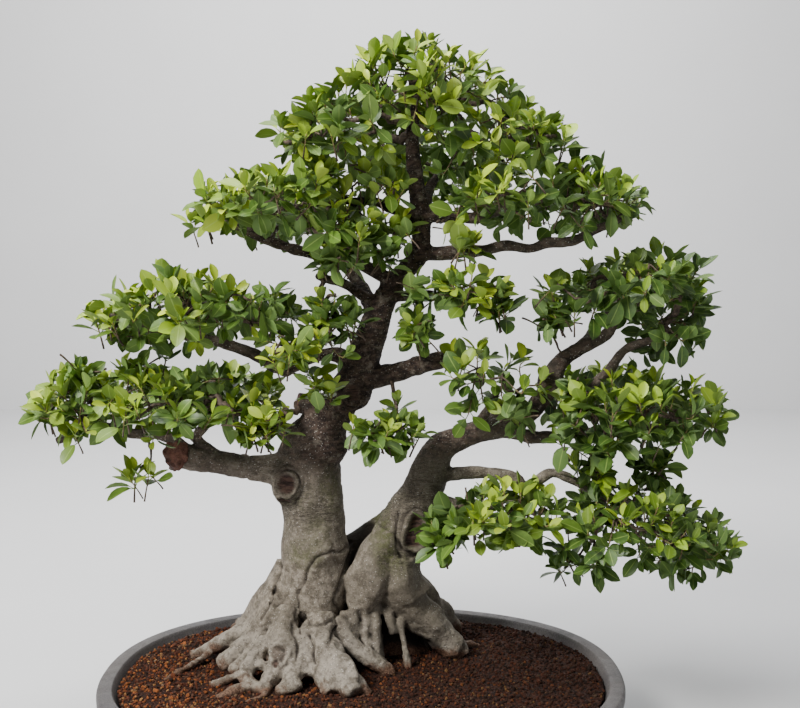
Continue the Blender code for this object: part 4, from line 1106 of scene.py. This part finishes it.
# Loose sprays of shoots off the masses: the mass they go with, middle, half sizes, shoots.
SPRAYS = [
    ("foliage_upper_left", (-0.034, 0.01, 0.56), (0.06, 0.05, 0.036), 12),
    ("foliage_inner_left", (-0.05, -0.01, 0.486), (0.05, 0.04, 0.034), 8),
    ("foliage_inner_left", (-0.056, -0.015, 0.396), (0.04, 0.03, 0.02), 6),
    ("foliage_left_low", (-0.136, -0.01, 0.338), (0.05, 0.045, 0.03), 8),
    ("foliage_centre_right", (0.078, 0.01, 0.47), (0.042, 0.04, 0.04), 9),
    ("foliage_centre_low", (0.046, -0.005, 0.346), (0.056, 0.045, 0.036), 6),
    ("foliage_inner_right", (0.204, 0.01, 0.348), (0.052, 0.04, 0.028), 7),
    ("foliage_right_low", (0.31, 0.02, 0.278), (0.08, 0.06, 0.024), 9),
    ("foliage_right_inner_low", (0.098, -0.01, 0.206), (0.03, 0.03, 0.028), 4),
    ("foliage_crown", (0.02, 0.02, 0.655), (0.06, 0.05, 0.03), 9),
    ("foliage_crown", (0.13, 0.02, 0.585), (0.045, 0.03, 0.018), 7),
    ("foliage_upper_left", (0.03, 0.015, 0.565), (0.024, 0.03, 0.024), 5),
    ("foliage_upper_left", (-0.06, 0.02, 0.668), (0.05, 0.04, 0.016), 8),
    ("foliage_upper_right", (0.285, 0.02, 0.672), (0.05, 0.04, 0.016), 8),
    ("foliage_left_low", (-0.37, 0, 0.402), (0.05, 0.04, 0.02), 8),
    ("foliage_left_low", (-0.29, 0, 0.408), (0.05, 0.04, 0.02), 8),
    ("foliage_left_low", (-0.2, 0, 0.4), (0.05, 0.04, 0.02), 7),
    ("foliage_right_low", (0.39, 0.02, 0.284), (0.05, 0.05, 0.02), 9),
    ("foliage_right_upper", (0.25, 0.03, 0.49), (0.022, 0.03, 0.055), 8),
    ("foliage_centre_right", (0.18, 0.01, 0.49), (0.026, 0.03, 0.06), 7),
    ("foliage_inner_left", (-0.012, 0, 0.476), (0.036, 0.03, 0.03), 6),
    ("foliage_centre_right", (0.072, 0.02, 0.51), (0.044, 0.03, 0.036), 7),
    ("foliage_crown", (0.047, 0.03, 0.602), (0.034, 0.03, 0.032), 6),
]


def corner_table(me):
    """The three corners of each of a mesh's triangles."""
    me.calc_loop_triangles()
    return rows(me.vertices, "co")[rows(me.loop_triangles, "vertices", 3, np.int32)]


def shoot_places(node, tree, rng):
    """Places on a foliage mass's outer skin where shoots end, with the way out of it."""
    tri = corner_table(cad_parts[node].data)
    cross = np.cross(tri[:, 1] - tri[:, 0], tri[:, 2] - tri[:, 0])
    area = np.linalg.norm(cross, axis=1) / 2
    way = unit(cross)
    middle = tri.mean(axis=1)
    keep = np.array([
        tree.ray_cast(Vector(m + w * 0.0008), Vector(w), 0.026)[0] is None
        for m, w in zip(middle, way)
    ])
    weight = area * keep * np.interp(way[:, 2], [-0.7, -0.25, 0.1, 0.6], [0.12, 0.35, 0.95, 1.15])
    count = int(round(weight.sum() * SHOOTS_PER_M2 * THIN.get(node, 1.0)))
    # even spread: more tries than needed, and each new one goes where there is room
    pick = rng.choice(len(tri), size=count * 6, p=weight / weight.sum())
    a, b = rng.random(len(pick)), rng.random(len(pick))
    flip = a + b > 1
    a[flip], b[flip] = 1 - a[flip], 1 - b[flip]
    spots = tri[pick, 0] + (tri[pick, 1] - tri[pick, 0]) * a[:, None]
    spots += (tri[pick, 2] - tri[pick, 0]) * b[:, None]
    chosen = spaced(spots, 0.80 / math.sqrt(SHOOTS_PER_M2 * THIN.get(node, 1.0)), count)
    spots, ways = spots[chosen], way[pick][chosen]
    for other, middle, half, shoots in SPRAYS:
        if other == node:
            loose = unit(rng.normal(size=(shoots, 3)) + (0, 0, 0.3))
            reach = np.array(half) * rng.uniform(0.4, 1.0, (shoots, 1))
            spots = np.vstack([spots, np.array(middle) + np.array(MIDDLE) + loose * reach])
            ways = np.vstack([ways, loose])
    return spots, ways


def spaced(spots, gap, most):
    """Indices of spots that keep a gap from the ones before them, up to a number."""
    cells, chosen = {}, []
    for index, spot in enumerate(spots):
        cell = tuple((spot // gap).astype(int))
        close = False
        for dx in (-1, 0, 1):
            for dy in (-1, 0, 1):
                for dz in (-1, 0, 1):
                    for other in cells.get((cell[0] + dx, cell[1] + dy, cell[2] + dz), ()):
                        if np.sum((spots[other] - spot) ** 2) < gap * gap:
                            close = True
        if close:
            continue
        cells.setdefault(cell, []).append(index)
        chosen.append(index)
        if len(chosen) >= most:
            break
    return np.array(chosen)


def shoot_roots(node, spots, ways):
    """Where each shoot of a mass comes from, somewhere inside the mass."""
    own = BVHTree.FromObject(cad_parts[node], bpy.context.evaluated_depsgraph_get())
    roots = np.empty_like(spots)
    for i, (spot, way) in enumerate(zip(spots, ways)):
        hit = own.ray_cast(Vector(spot - way * 0.002), Vector(-way), 0.30)
        thick = hit[3] if hit[0] is not None else 0.05
        roots[i] = spot - way * min(0.052, 0.46 * thick)
    return roots


def grow_stems(hubs, branch_lines, rng):
    """Stems from the branches to the hubs. Each hub takes the nearest wood there is by then."""
    count = len(hubs)
    nearest, source, owner = np.full(count, np.inf), np.zeros((count, 3)), np.full(count, -1)

    def offer(points, number):
        away = np.linalg.norm(hubs[:, None, :] - points[None], axis=2)
        best = away.argmin(axis=1)
        far = away[np.arange(count), best] * (1.0 if number < 0 else 1.12)
        closer = far < nearest
        nearest[closer] = far[closer]
        source[closer] = points[best[closer]]
        owner[closer] = number

    for line in branch_lines + trunk_tops():
        offer(line[len(line) // 4:, :3], -1)
    waiting = np.ones(count, bool)
    stems, parent = [], []
    share = np.linspace(0, 1, STEM_RINGS)[:, None]
    while waiting.any():
        index = int(np.where(waiting, nearest, np.inf).argmin())
        waiting[index] = False
        start, end = source[index].copy(), hubs[index]
        length = float(np.linalg.norm(end - start))
        sway = rng.normal(size=3) * 0.11 * length + np.array([0, 0, -0.10 * length])
        path = start + (end - start) * share + sway * (4 * share * (1 - share))
        path[1:-1] += rng.normal(size=(STEM_RINGS - 2, 3)) * 0.0016
        parent.append(int(owner[index]))
        stems.append(path)
        offer(path[3:], len(stems) - 1)
    # a stem is thicker the more stems it bears
    loads = np.ones(len(stems))
    for number in range(len(stems) - 1, -1, -1):
        if parent[number] >= 0:
            loads[parent[number]] += loads[number]
    thick = np.clip(0.00165 * loads ** 0.42, 0.0016, 0.0052)
    taper = np.linspace(1.12, 0.84, STEM_RINGS)
    radii = thick[:, None] * taper * rng.uniform(0.88, 1.14, (len(stems), STEM_RINGS))
    return many_tubes(np.array(stems), radii, 7)


def shoot_paths(spots, ways, roots, hub_tree, rng):
    """The curved line of each shoot, from its hub to near its spot."""
    n = len(spots)
    up = np.array([0.0, 0.0, 1.0])
    aim = unit(ways * 0.60 + up * rng.uniform(0.35, 0.95, (n, 1)) + rng.normal(size=(n, 3)) * 0.26)
    under = ways[:, 2] < -0.25
    aim[under] = unit(ways[under] * 0.4 + unit(ways[under] * (1, 1, 0) + 1e-6)
                      + rng.normal(size=(under.sum(), 3)) * 0.25)
    depth = 0.017 + 0.020 * rng.random(n) + (rng.random(n) < 0.18) * rng.uniform(0.008, 0.030, n)
    half = np.linalg.norm(spots - roots, axis=1) / 0.46 / 2
    depth = np.minimum(depth, 0.010 + 0.85 * half)
    tips = spots - aim * depth[:, None] * 0.72 - ways * (depth * 0.28)[:, None]
    bases = np.array([hub_tree.find(Vector(r * 0.6 + t * 0.4))[0] for r, t in zip(roots, tips)])
    # a shoot needs some length before its leaves
    short = np.linalg.norm(tips - bases, axis=1) < 0.030
    bases[short] = tips[short] - aim[short] * 0.034
    gap = np.linalg.norm(tips - bases, axis=1)
    t = np.linspace(0, 1, SHOOT_RINGS)[None, :, None]
    start_way = (unit(tips - bases) + up * 0.2) * gap[:, None] * 0.9
    end_way = aim * gap[:, None] * 1.1
    b, e = bases[:, None, :], tips[:, None, :]
    m0, m1 = start_way[:, None, :], end_way[:, None, :]
    return ((2 * t ** 3 - 3 * t ** 2 + 1) * b + (t ** 3 - 2 * t ** 2 + t) * m0
            + (-2 * t ** 3 + 3 * t ** 2) * e + (t ** 3 - t ** 2) * m1)


def make_foliage(branch_lines):
    rng = np.random.default_rng(7)
    nodes = sorted(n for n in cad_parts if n.startswith("foliage_"))
    everything = bmesh.new()
    for node in nodes:
        everything.from_mesh(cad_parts[node].data)
    tree = BVHTree.FromBMesh(everything)
    everything.free()
    shoots = []
    for node in nodes:
        spots, ways = shoot_places(node, tree, rng)
        shoots.append((node, spots, ways, shoot_roots(node, spots, ways)))

    # Hubs, where shoots meet, each linked back to a branch or to a hub nearer to one.
    rough = np.vstack([s[3] for s in shoots])
    order = rng.permutation(len(rough))
    hubs = rough[order][spaced(rough[order], HUB_GAP, len(rough))]
    twigs = Body()
    twigs.add(*grow_stems(hubs, branch_lines, rng)[:3], (0, 0, 0, 0))
    hub_tree = KDTree(len(hubs))
    for i, hub in enumerate(hubs):
        hub_tree.insert(Vector(hub), i)
    hub_tree.balance()

    template = leaf_template()
    sides = 4
    for node, spots, ways, roots in shoots:
        n = len(spots)
        paths = shoot_paths(spots, ways, roots, hub_tree, rng)
        radii = np.linspace(0.00125, 0.00070, SHOOT_RINGS)[None, :] * rng.uniform(0.85, 1.2, (n, 1))
        points, corners, counts, per = many_tubes(paths, radii, sides)
        tone = np.zeros((n, per, 4))
        young = np.linspace(-0.3, 1.0, SHOOT_RINGS).clip(0, 1)
        tone[:, :SHOOT_RINGS * sides, 0] = np.repeat(young, sides)[None]
        tone[:, -1, 0] = 1.0
        twigs.add(points, corners, counts, tone.reshape(-1, 4))
        leaf_piece(node, paths, ways, spots, template, rng)
    piece = twigs.object("twigs", "twig_tone")
    done(piece, "bark")
    return piece


def trunk_tops():
    """The thin upper parts of both trunks, which bear twigs as well."""
    return [placed(smooth_line(LEFT_TRUNK[10:], 0.01)), placed(smooth_line(RIGHT_TRUNK[8:], 0.01))]


def stalk_prisms(start, end, up, axis):
    """Each leaf's stalk, as the six points of a thin three-sided prism."""
    way = unit(end - start)
    side = unit(np.cross(way, up))
    other = unit(np.cross(way, side))
    prism = []
    for spot, radius in ((start, 0.00075), (end + axis * 0.0012, 0.00060)):
        for k in range(3):
            angle = 2 * np.pi * k / 3
            prism.append(spot + (side * math.cos(angle) + other * math.sin(angle)) * radius)
    return np.stack(prism, axis=1)


def with_stalk(template):
    """The leaf's template with the stalk's faces added."""
    corners, counts, across, under, uvs = template
    stalk = np.array([0, 1, 4, 3, 1, 2, 5, 4, 2, 0, 3, 5, 2, 1, 0, 3, 4, 5])
    spots = [(0.48 + 0.02 * (k % 3), 0.01 + 0.04 * (k // 3)) for k in stalk]
    return (
        np.concatenate([corners, stalk + TIP + 1]), np.concatenate([counts, [4, 4, 4, 3, 3]]),
        np.concatenate([across, np.full(18, 0.08)]), np.concatenate([under, np.zeros(18)]),
        np.concatenate([uvs, spots]),
    )


def leaf_piece(node, paths, ways, spots, template, rng):
    """One mass's leaves: four to seven in a spiral up the end of each shoot."""
    n = len(paths)
    per_shoot = rng.integers(4, 8, n)
    shoot = np.repeat(np.arange(n), per_shoot)
    rank = np.concatenate([np.arange(k) for k in per_shoot])
    share = rank / (np.repeat(per_shoot, per_shoot) - 1)  # 0 oldest, 1 youngest
    count = len(shoot)
    place = 0.52 + 0.48 * share
    last = SHOOT_RINGS - 1
    lower = np.minimum((place * last).astype(int), last - 1)
    part = (place * last - lower)[:, None]
    start = paths[shoot, lower] * (1 - part) + paths[shoot, lower + 1] * part
    stem = unit(paths[shoot, lower + 1] - paths[shoot, lower])
    handy = unit(np.cross(stem, unit(rng.normal(size=(n, 3)))[shoot]))
    third = np.cross(stem, handy)
    turn = rng.uniform(0, 2 * np.pi, n)[shoot] + rank * GOLDEN_ANGLE + rng.normal(size=count) * 0.22
    round_way = handy * np.cos(turn)[:, None] + third * np.sin(turn)[:, None]
    lean = np.radians(76 - 50 * share ** 1.1 + rng.normal(size=count) * 9)
    axis = stem * np.cos(lean)[:, None] + round_way * np.sin(lean)[:, None]
    axis[:, 2] += 0.10 - 0.26 * (1 - share) * rng.random(count)
    axis = unit(axis)
    up = stem * 0.75 + np.array([0, 0, 0.65]) + rng.normal(size=(count, 3)) * 0.26
    flat = np.linalg.norm(np.cross(up, axis), axis=1) < 0.25
    up[flat] += round_way[flat] * -0.8
    size = LEAF_LENGTH * rng.uniform(0.74, 1.08, count) * (1 - 0.36 * share ** 3)
    size *= rng.uniform(0.72, 1.12, n)[shoot]
    base = start + unit(stem * 0.45 + axis) * (size * rng.uniform(0.16, 0.26, count))[:, None]
    width = size * rng.uniform(0.54, 0.67, count)
    fold = rng.uniform(0.08, 0.36, count) + 0.25 * share ** 2
    curl = rng.normal(0.24, 0.26, count)
    twist = rng.normal(0, 0.16, count)
    skin = leaf_points(base, axis, up, size, width, fold, curl, twist)
    points = np.concatenate([skin, stalk_prisms(start, base, up, axis)], axis=1)
    corners, counts, across, under, uvs = with_stalk(template)
    per = points.shape[1]
    obj = mesh_object(
        node.replace("foliage", "leaves"), points.reshape(-1, 3), repeated(corners, per, count),
        np.tile(counts, count), sharp=math.radians(75),
    )

    # How fresh a shoot is comes in patches, most of all on top. The right side has fewer young leaves,
    # and painted shade darkens its leaves.
    right = np.clip((spots[:, 0] - MIDDLE.x - 0.14) / 0.16, 0, 1)
    fresh = 0.34 + 0.95 * noise_at(spots, 11, 4.0) + 0.36 * ways[:, 2]
    fresh = np.clip(fresh + rng.normal(size=n) * 0.22 - 0.16 * right + FRESHER.get(node, 0.0), 0, 1)
    young = np.clip(fresh[shoot] * (0.25 + 0.95 * share ** 1.3), 0, 1)
    shade = np.clip(rng.beta(2, 2, count) * 0.8 + rng.random(n)[shoot] * 0.3, 0, 1)
    # painted shade: leaves on the tree's right side are darker
    shade *= 1 - 0.55 * right[shoot]
    aged = rng.random(count) < 0.004
    young[aged], shade[aged] = 1.0, 1.0
    tone = np.empty((count, len(corners), 4), np.float32)
    tone[:, :, 0], tone[:, :, 1] = young[:, None], across[None, :]
    tone[:, :, 2], tone[:, :, 3] = shade[:, None], under[None, :]
    paint(obj.data, "leaf_tone", tone, domain="CORNER")
    # each leaf has its own square of the map
    grid = math.ceil(math.sqrt(count))
    cell = np.stack([np.arange(count) % grid, np.arange(count) // grid], axis=1)
    layout = (cell[:, None, :] + uvs[None, :, :]) / grid
    layer = obj.data.uv_layers.new(name="OFBake")
    layer.uv.foreach_set("vector", layout.astype(np.float32).ravel())
    obj.data.materials.append(LEAF)
    done(obj, "leaves", node)


# ------------------------------------------------------------------ soil and pot


def oval_radius(angle, half_x, half_y):
    c, s = np.cos(angle), np.sin(angle)
    r = (np.abs(c) ** SQUARENESS + np.abs(s) ** SQUARENESS) ** (-1 / SQUARENESS)
    return half_x * c * r, half_y * s * r


def fan_loft(rings, first, last):
    """Closed skin over rings of one count of points, with a middle point at each end."""
    return (np.vstack(rings + [[first], [last]]), *flat_faces(*ring_faces(len(rings), len(rings[0]))))


BED_INSET = 0.0275  # from the rim's outside to the soil's edge
GRAIN_INSET = 0.0270
GRAINS = 12400
# Share of each kind of grain, how much more of it there is to the front left, and its colour.
GRAIN_KINDS = [
    (0.24, 0.0, (0.170, 0.052, 0.024)), (0.02, 0.20, (0.330, 0.110, 0.036)),
    (0.28, -0.06, (0.105, 0.034, 0.020)), (0.02, 0.07, (0.380, 0.200, 0.080)),
    (0.26, -0.12, (0.036, 0.020, 0.016)), (0.03, 0.02, (0.200, 0.130, 0.085)),
    (0.15, 0.0, (0.130, 0.062, 0.040)),
]


def ground_height(x, y):
    """The soil's top at a place given from the pot's middle."""
    share = (np.abs(x / 0.320) ** SQUARENESS + np.abs(y / 0.246) ** SQUARENESS) ** (1 / SQUARENESS)
    rise = 0.0055 * (1 - np.clip(share, 0, 1) ** 2)
    bumps = [
        noise.noise(Vector((a * 22, b * 22, 4.0))) * 0.0030
        + noise.noise(Vector((a * 75, b * 75, 1.0))) * 0.0012
        for a, b in zip(np.ravel(x), np.ravel(y))
    ]
    return SOIL_TOP - 0.0035 + rise + np.reshape(bumps, np.shape(x)) * (1 - 0.6 * share ** 6)


def make_soil():
    n = 220
    angles = 2 * np.pi * np.arange(n) / n
    rings = []
    for z, inset in ((0.031, 0.062), (0.060, 0.045), (SOIL_TOP - 0.004, 0.0268)):
        x, y = oval_radius(angles, POT_HALF_X - inset, POT_HALF_Y - inset)
        rings.append(np.stack([x, y, np.full(n, z)], 1))
    for share in np.linspace(1.0, 0.015, 64) ** 0.8:
        x, y = oval_radius(angles, (POT_HALF_X - BED_INSET) * share, (POT_HALF_Y - BED_INSET) * share)
        rings.append(np.stack([x, y, ground_height(x, y)], 1))
    points, corners, counts = fan_loft(rings, (0, 0, 0.031), (0, 0, SOIL_TOP + 0.002))
    points = points + (MIDDLE.x, MIDDLE.y, 0)
    bed = mesh_object("soil_bed", points, corners, counts)
    bed.data.materials.append(soil_material())
    done(bed, "soil", "soil")


def free_of_wood(spots, size, wood):
    """Which grains lie in the open. One that the wood covers closely is left out."""
    tree = BVHTree.FromObject(wood, bpy.context.evaluated_depsgraph_get())
    free = []
    for spot, r in zip(spots, size):
        hit = tree.ray_cast(Vector((spot[0], spot[1], 0.5)), Vector((0, 0, -1)), 0.45)
        free.append(hit[0] is None or hit[0].z < spot[2] + r * 0.4 or hit[0].z > spot[2] + 0.030)
    return np.array(free)


def random_spins(n, rng):
    turn = rng.normal(size=(n, 4))
    turn /= np.linalg.norm(turn, axis=1, keepdims=True)
    w, a, b, c = turn.T
    return np.stack([
        np.stack([1 - 2 * (b * b + c * c), 2 * (a * b - c * w), 2 * (a * c + b * w)], 1),
        np.stack([2 * (a * b + c * w), 1 - 2 * (a * a + c * c), 2 * (b * c - a * w)], 1),
        np.stack([2 * (a * c - b * w), 2 * (b * c + a * w), 1 - 2 * (a * a + b * b)], 1),
    ], 1)


def grain_colours(x, y, rng):
    """More orange at the front left, with more dark grains and painted shade towards the back right."""
    lean = np.clip(0.42 - (x / 0.6 + y / 0.5) * 0.9, 0, 1)
    chance = np.stack([low + more * lean for low, more, _ in GRAIN_KINDS], 1)
    chance = np.cumsum(chance / chance.sum(axis=1, keepdims=True), axis=1)
    last = len(GRAIN_KINDS) - 1
    kind = (rng.random(len(x))[:, None] > chance).sum(axis=1).clip(0, last)
    # painted shade: the grains darker towards the back right
    painted_soil_shade = np.interp(x - y * -0.25, [-0.26, 0.02, 0.26], [0.92, 0.50, 0.27])
    colours = np.array([colour for _, _, colour in GRAIN_KINDS])
    return colours[kind] * rng.uniform(0.6, 1.25, (len(x), 1)) * painted_soil_shade[:, None] * (1.0, 0.95, 0.86)


def make_grains(wood):
    rng = np.random.default_rng(3)
    half_x, half_y = POT_HALF_X - GRAIN_INSET, POT_HALF_Y - GRAIN_INSET
    x = rng.uniform(-1, 1, GRAINS * 2) * half_x
    y = rng.uniform(-1, 1, GRAINS * 2) * half_y
    inside = (np.abs(x / half_x) ** SQUARENESS + np.abs(y / half_y) ** SQUARENESS) < 1
    x, y = x[inside][:GRAINS], y[inside][:GRAINS]
    size = 0.0014 + 0.0020 * rng.beta(1.5, 3.4, len(x))
    size[rng.random(len(x)) < 0.03] *= 1.5
    z = ground_height(x, y) + size * rng.uniform(-0.2, 0.65, len(x))
    spots = np.stack([x + MIDDLE.x, y + MIDDLE.y, z], 1)
    free = free_of_wood(spots, size, wood)
    spots, size = spots[free], size[free]
    ball, faces = icosphere(1)
    n, per = len(spots), len(ball)
    shape = ball[None] * (1 + rng.normal(size=(n, per, 1)) * 0.13)
    shape = shape * rng.uniform(0.72, 1.12, (n, 1, 3))
    shape = np.einsum("nij,nkj->nki", random_spins(n, rng), shape)
    shape = shape * size[:, None, None] + spots[:, None, :]
    colour = grain_colours(x[free], y[free], rng)
    material = grain_material()
    left = spots[:, 0] < MIDDLE.x
    for name, part in (("grains_left", left), ("grains_right", ~left)):
        m = int(part.sum())
        obj = mesh_object(name, shape[part], repeated(faces.ravel(), per, m),
                          np.full(m * len(faces), 3), smooth=False)
        tone = np.concatenate([colour[part], np.ones((m, 1))], axis=1)
        paint(obj.data, "grain_tone", np.repeat(tone, per, axis=0))
        obj.data.materials.append(material)
        done(obj, "soil")


def pot_profile():
    """Inset from the rim's outside and height: up the outside, over the rim, down inside."""
    rim, lip = RIM_TOP, RIM_WIDTH - WALL
    under_lip = rim - RIM_DEPTH
    body = under_lip - FOOT_HEIGHT
    profile = [(TAPER + 0.012, FOOT_HEIGHT), (TAPER + 0.004, FOOT_HEIGHT + 0.001),
               (TAPER + 0.0006, FOOT_HEIGHT + 0.0035)]
    for step in np.linspace(0.12, 0.98, 10):
        swell = 0.006 * math.sin(math.pi * step)
        profile.append((TAPER + (lip - TAPER) * step - swell, FOOT_HEIGHT + body * step))
    profile += [
        (lip - 0.0006, under_lip - 0.0012), (lip - 0.0030, under_lip - 0.0002),
        (0.0034, under_lip + 0.0002), (0.0012, under_lip + 0.0010), (0.0002, under_lip + 0.0030),
        (0.0, rim - RIM_DEPTH / 2), (0.0002, rim - 0.0044), (0.0010, rim - 0.0018),
        (0.0026, rim - 0.0004), (0.0048, rim), (RIM_WIDTH / 2, rim + 0.0001),
        (RIM_WIDTH - 0.0046, rim), (RIM_WIDTH - 0.0022, rim - 0.0006),
        (RIM_WIDTH - 0.0008, rim - 0.0022), (RIM_WIDTH, rim - 0.0050),
    ]
    deep, bend = TAPER + WALL, POT_FLOOR + 0.010
    for share in (0.75, 0.5, 0.25, 0.0):
        profile.append((deep - (deep - RIM_WIDTH) * share, bend + (rim - 0.014 - bend) * share))
    return profile + [(deep + 0.0030, POT_FLOOR + 0.0040), (deep + 0.0090, POT_FLOOR)]


def helper_mesh(name, build):
    bm = bmesh.new()
    build(bm)
    made = bpy.data.meshes.new(name)
    bm.to_mesh(made)
    bm.free()
    return made


def drain_drill(bm):
    for side in (-1, 1):
        made = bmesh.ops.create_cone(bm, cap_ends=True, segments=48, depth=0.08,
                                     radius1=DRAIN_RADIUS, radius2=DRAIN_RADIUS)
        bmesh.ops.translate(bm, verts=made["verts"], vec=(side * DRAIN_SPACING / 2, 0, POT_FLOOR))


def foot_blocks(bm):
    for sx in (-1, 1):
        for sy in (-1, 1):
            foot(bm, sx, sy)


def make_pot():
    angles = 2 * np.pi * np.arange(POT_SIDES) / POT_SIDES
    rings = []
    for inset, z in pot_profile():
        x, y = oval_radius(angles, POT_HALF_X - inset, POT_HALF_Y - inset)
        wave = 0.0005 * np.array([
            noise.noise(Vector((math.cos(a) * 3, math.sin(a) * 3, z * 9))) for a in angles
        ])
        rings.append(np.stack([x * (1 + wave), y * (1 + wave), np.full(POT_SIDES, z)], 1))
    shell = mesh_object("pot_shell", *fan_loft(rings, (0, 0, FOOT_HEIGHT), (0, 0, POT_FLOOR)))
    shell.location = (MIDDLE.x, MIDDLE.y, 0)
    helpers = []
    for operation, build in (("UNION", foot_blocks), ("DIFFERENCE", drain_drill)):
        helper = link(bpy.data.objects.new(operation.title(), helper_mesh(operation, build)))
        helper.location = shell.location
        helpers.append(helper)
        change = shell.modifiers.new(operation.title(), "BOOLEAN")
        change.operation = operation
        change.solver = "EXACT"
        change.object = helper
    made = baked(shell)
    made.transform(shell.matrix_world)
    for helper in helpers + [shell]:
        bpy.data.objects.remove(helper)
    made.set_sharp_from_angle(angle=math.radians(32))
    pot = link(bpy.data.objects.new("oval_pot", made))
    pot.data.materials.clear()
    pot.data.materials.append(stoneware_material())
    done(pot, "stoneware", "pot")


def foot(bm, sx, sy):
    """A low foot with rounded ends that follows the wall above it."""
    inset = TAPER + 0.012 + FOOT_WIDTH * 0.6
    x, y = oval_radius(np.array([FOOT_ANGLE, FOOT_ANGLE + 0.05]), POT_HALF_X - inset, POT_HALF_Y - inset)
    middle = Vector((x[0], y[0], 0))
    along = Vector((x[1] - x[0], y[1] - y[0], 0)).normalized()
    across = Vector((-along.y, along.x, 0))
    sides, loops = 32, []
    for z, grow in ((0.0, 0.86), (0.0012, 0.90), (FOOT_HEIGHT + 0.004, 1.0)):
        ring = []
        for k in range(sides):
            angle = 2 * math.pi * k / sides
            c, s = math.cos(angle), math.sin(angle)
            r = (abs(c) ** 5 + abs(s) ** 5) ** -0.2
            spot = middle + along * (c * r * FOOT_LENGTH / 2 * grow)
            spot += across * (s * r * FOOT_WIDTH / 2 * grow)
            ring.append(bm.verts.new((spot.x * sx, spot.y * sy, z)))
        loops.append(ring)
    faces = [bm.faces.new(loops[0][::-1]), bm.faces.new(loops[-1])]
    for a, b in zip(loops, loops[1:]):
        for k in range(sides):
            j = (k + 1) % sides
            faces.append(bm.faces.new((a[k], a[j], b[j], b[k])))
    bmesh.ops.recalc_face_normals(bm, faces=faces)


# ------------------------------------------------------------------ the scene

LEAF = leaf_material()
BARK = bark_material()
TWIG = twig_material()

wood = make_trunks()
wood.data.materials.append(BARK)
branches, branch_lines = make_branches()
branches.data.materials.append(BARK)
twigs = make_foliage(branch_lines)
twigs.data.materials.append(TWIG)
make_soil()
make_grains(wood)
make_pot()

netting, wire = netting_material(), wire_material()
for side in ("left", "right"):
    for node, material, slot in (("drain_screen_", netting, "netting"), ("screen_wire_", wire, "wire")):
        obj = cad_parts[node + side]
        obj.data.materials.clear()
        obj.data.materials.append(material)

bpy.ops.mesh.primitive_plane_add(size=12)
floor = bpy.context.object
floor.name = "floor"
bpy.ops.mesh.primitive_plane_add(size=12, location=(0, 3.2, 3), rotation=(math.pi / 2, 0, 0))
wall = bpy.context.object
wall.name = "backdrop"
plain = floor_material()
floor.data.materials.append(plain)
wall.data.materials.append(plain)


def area_light(name, place, aim, size, power, colour=(1, 1, 1)):
    data = bpy.data.lights.new(name, "AREA")
    data.shape = "DISK"
    data.size = size
    data.energy = power
    data.color = colour
    obj = link(bpy.data.objects.new(name, data))
    obj.location = place
    obj.rotation_euler = (Vector(aim) - Vector(place)).to_track_quat("-Z", "Y").to_euler()


area_light("key", (-1.9, -1.9, 2.6), (0, 0, 0.50), 1.1, 185, (1.0, 0.985, 0.95))
area_light("fill", (2.2, -1.8, 1.2), (0, 0, 0.35), 2.2, 8, (0.96, 0.98, 1.0))
area_light("top", (-0.5, 0.1, 2.9), (0, 0, 0.5), 1.8, 95, (0.98, 0.99, 1.0))
area_light("wall_light", (0.0, 1.3, 2.6), (0, 3.2, 1.2), 2.5, 110)

world = bpy.data.worlds.new("studio")
bpy.context.scene.world = world
world.use_nodes = True
world.node_tree.nodes["Background"].inputs["Color"].default_value = (0.80, 0.83, 0.87, 1)
world.node_tree.nodes["Background"].inputs["Strength"].default_value = 0.20

lens = bpy.data.cameras.new("photo_view")
lens.lens = LENS
lens.sensor_width = 36
lens.clip_end = 50
camera = link(bpy.data.objects.new("photo_view", lens))
camera.location = (MIDDLE.x + CAMERA_X, MIDDLE.y - CAMERA_BACK, RIM_TOP + CAMERA_UP)
camera.rotation_euler = (math.pi / 2 - CAMERA_TILT, 0, 0)
bpy.context.scene.camera = camera

bpy.context.view_layer.update()
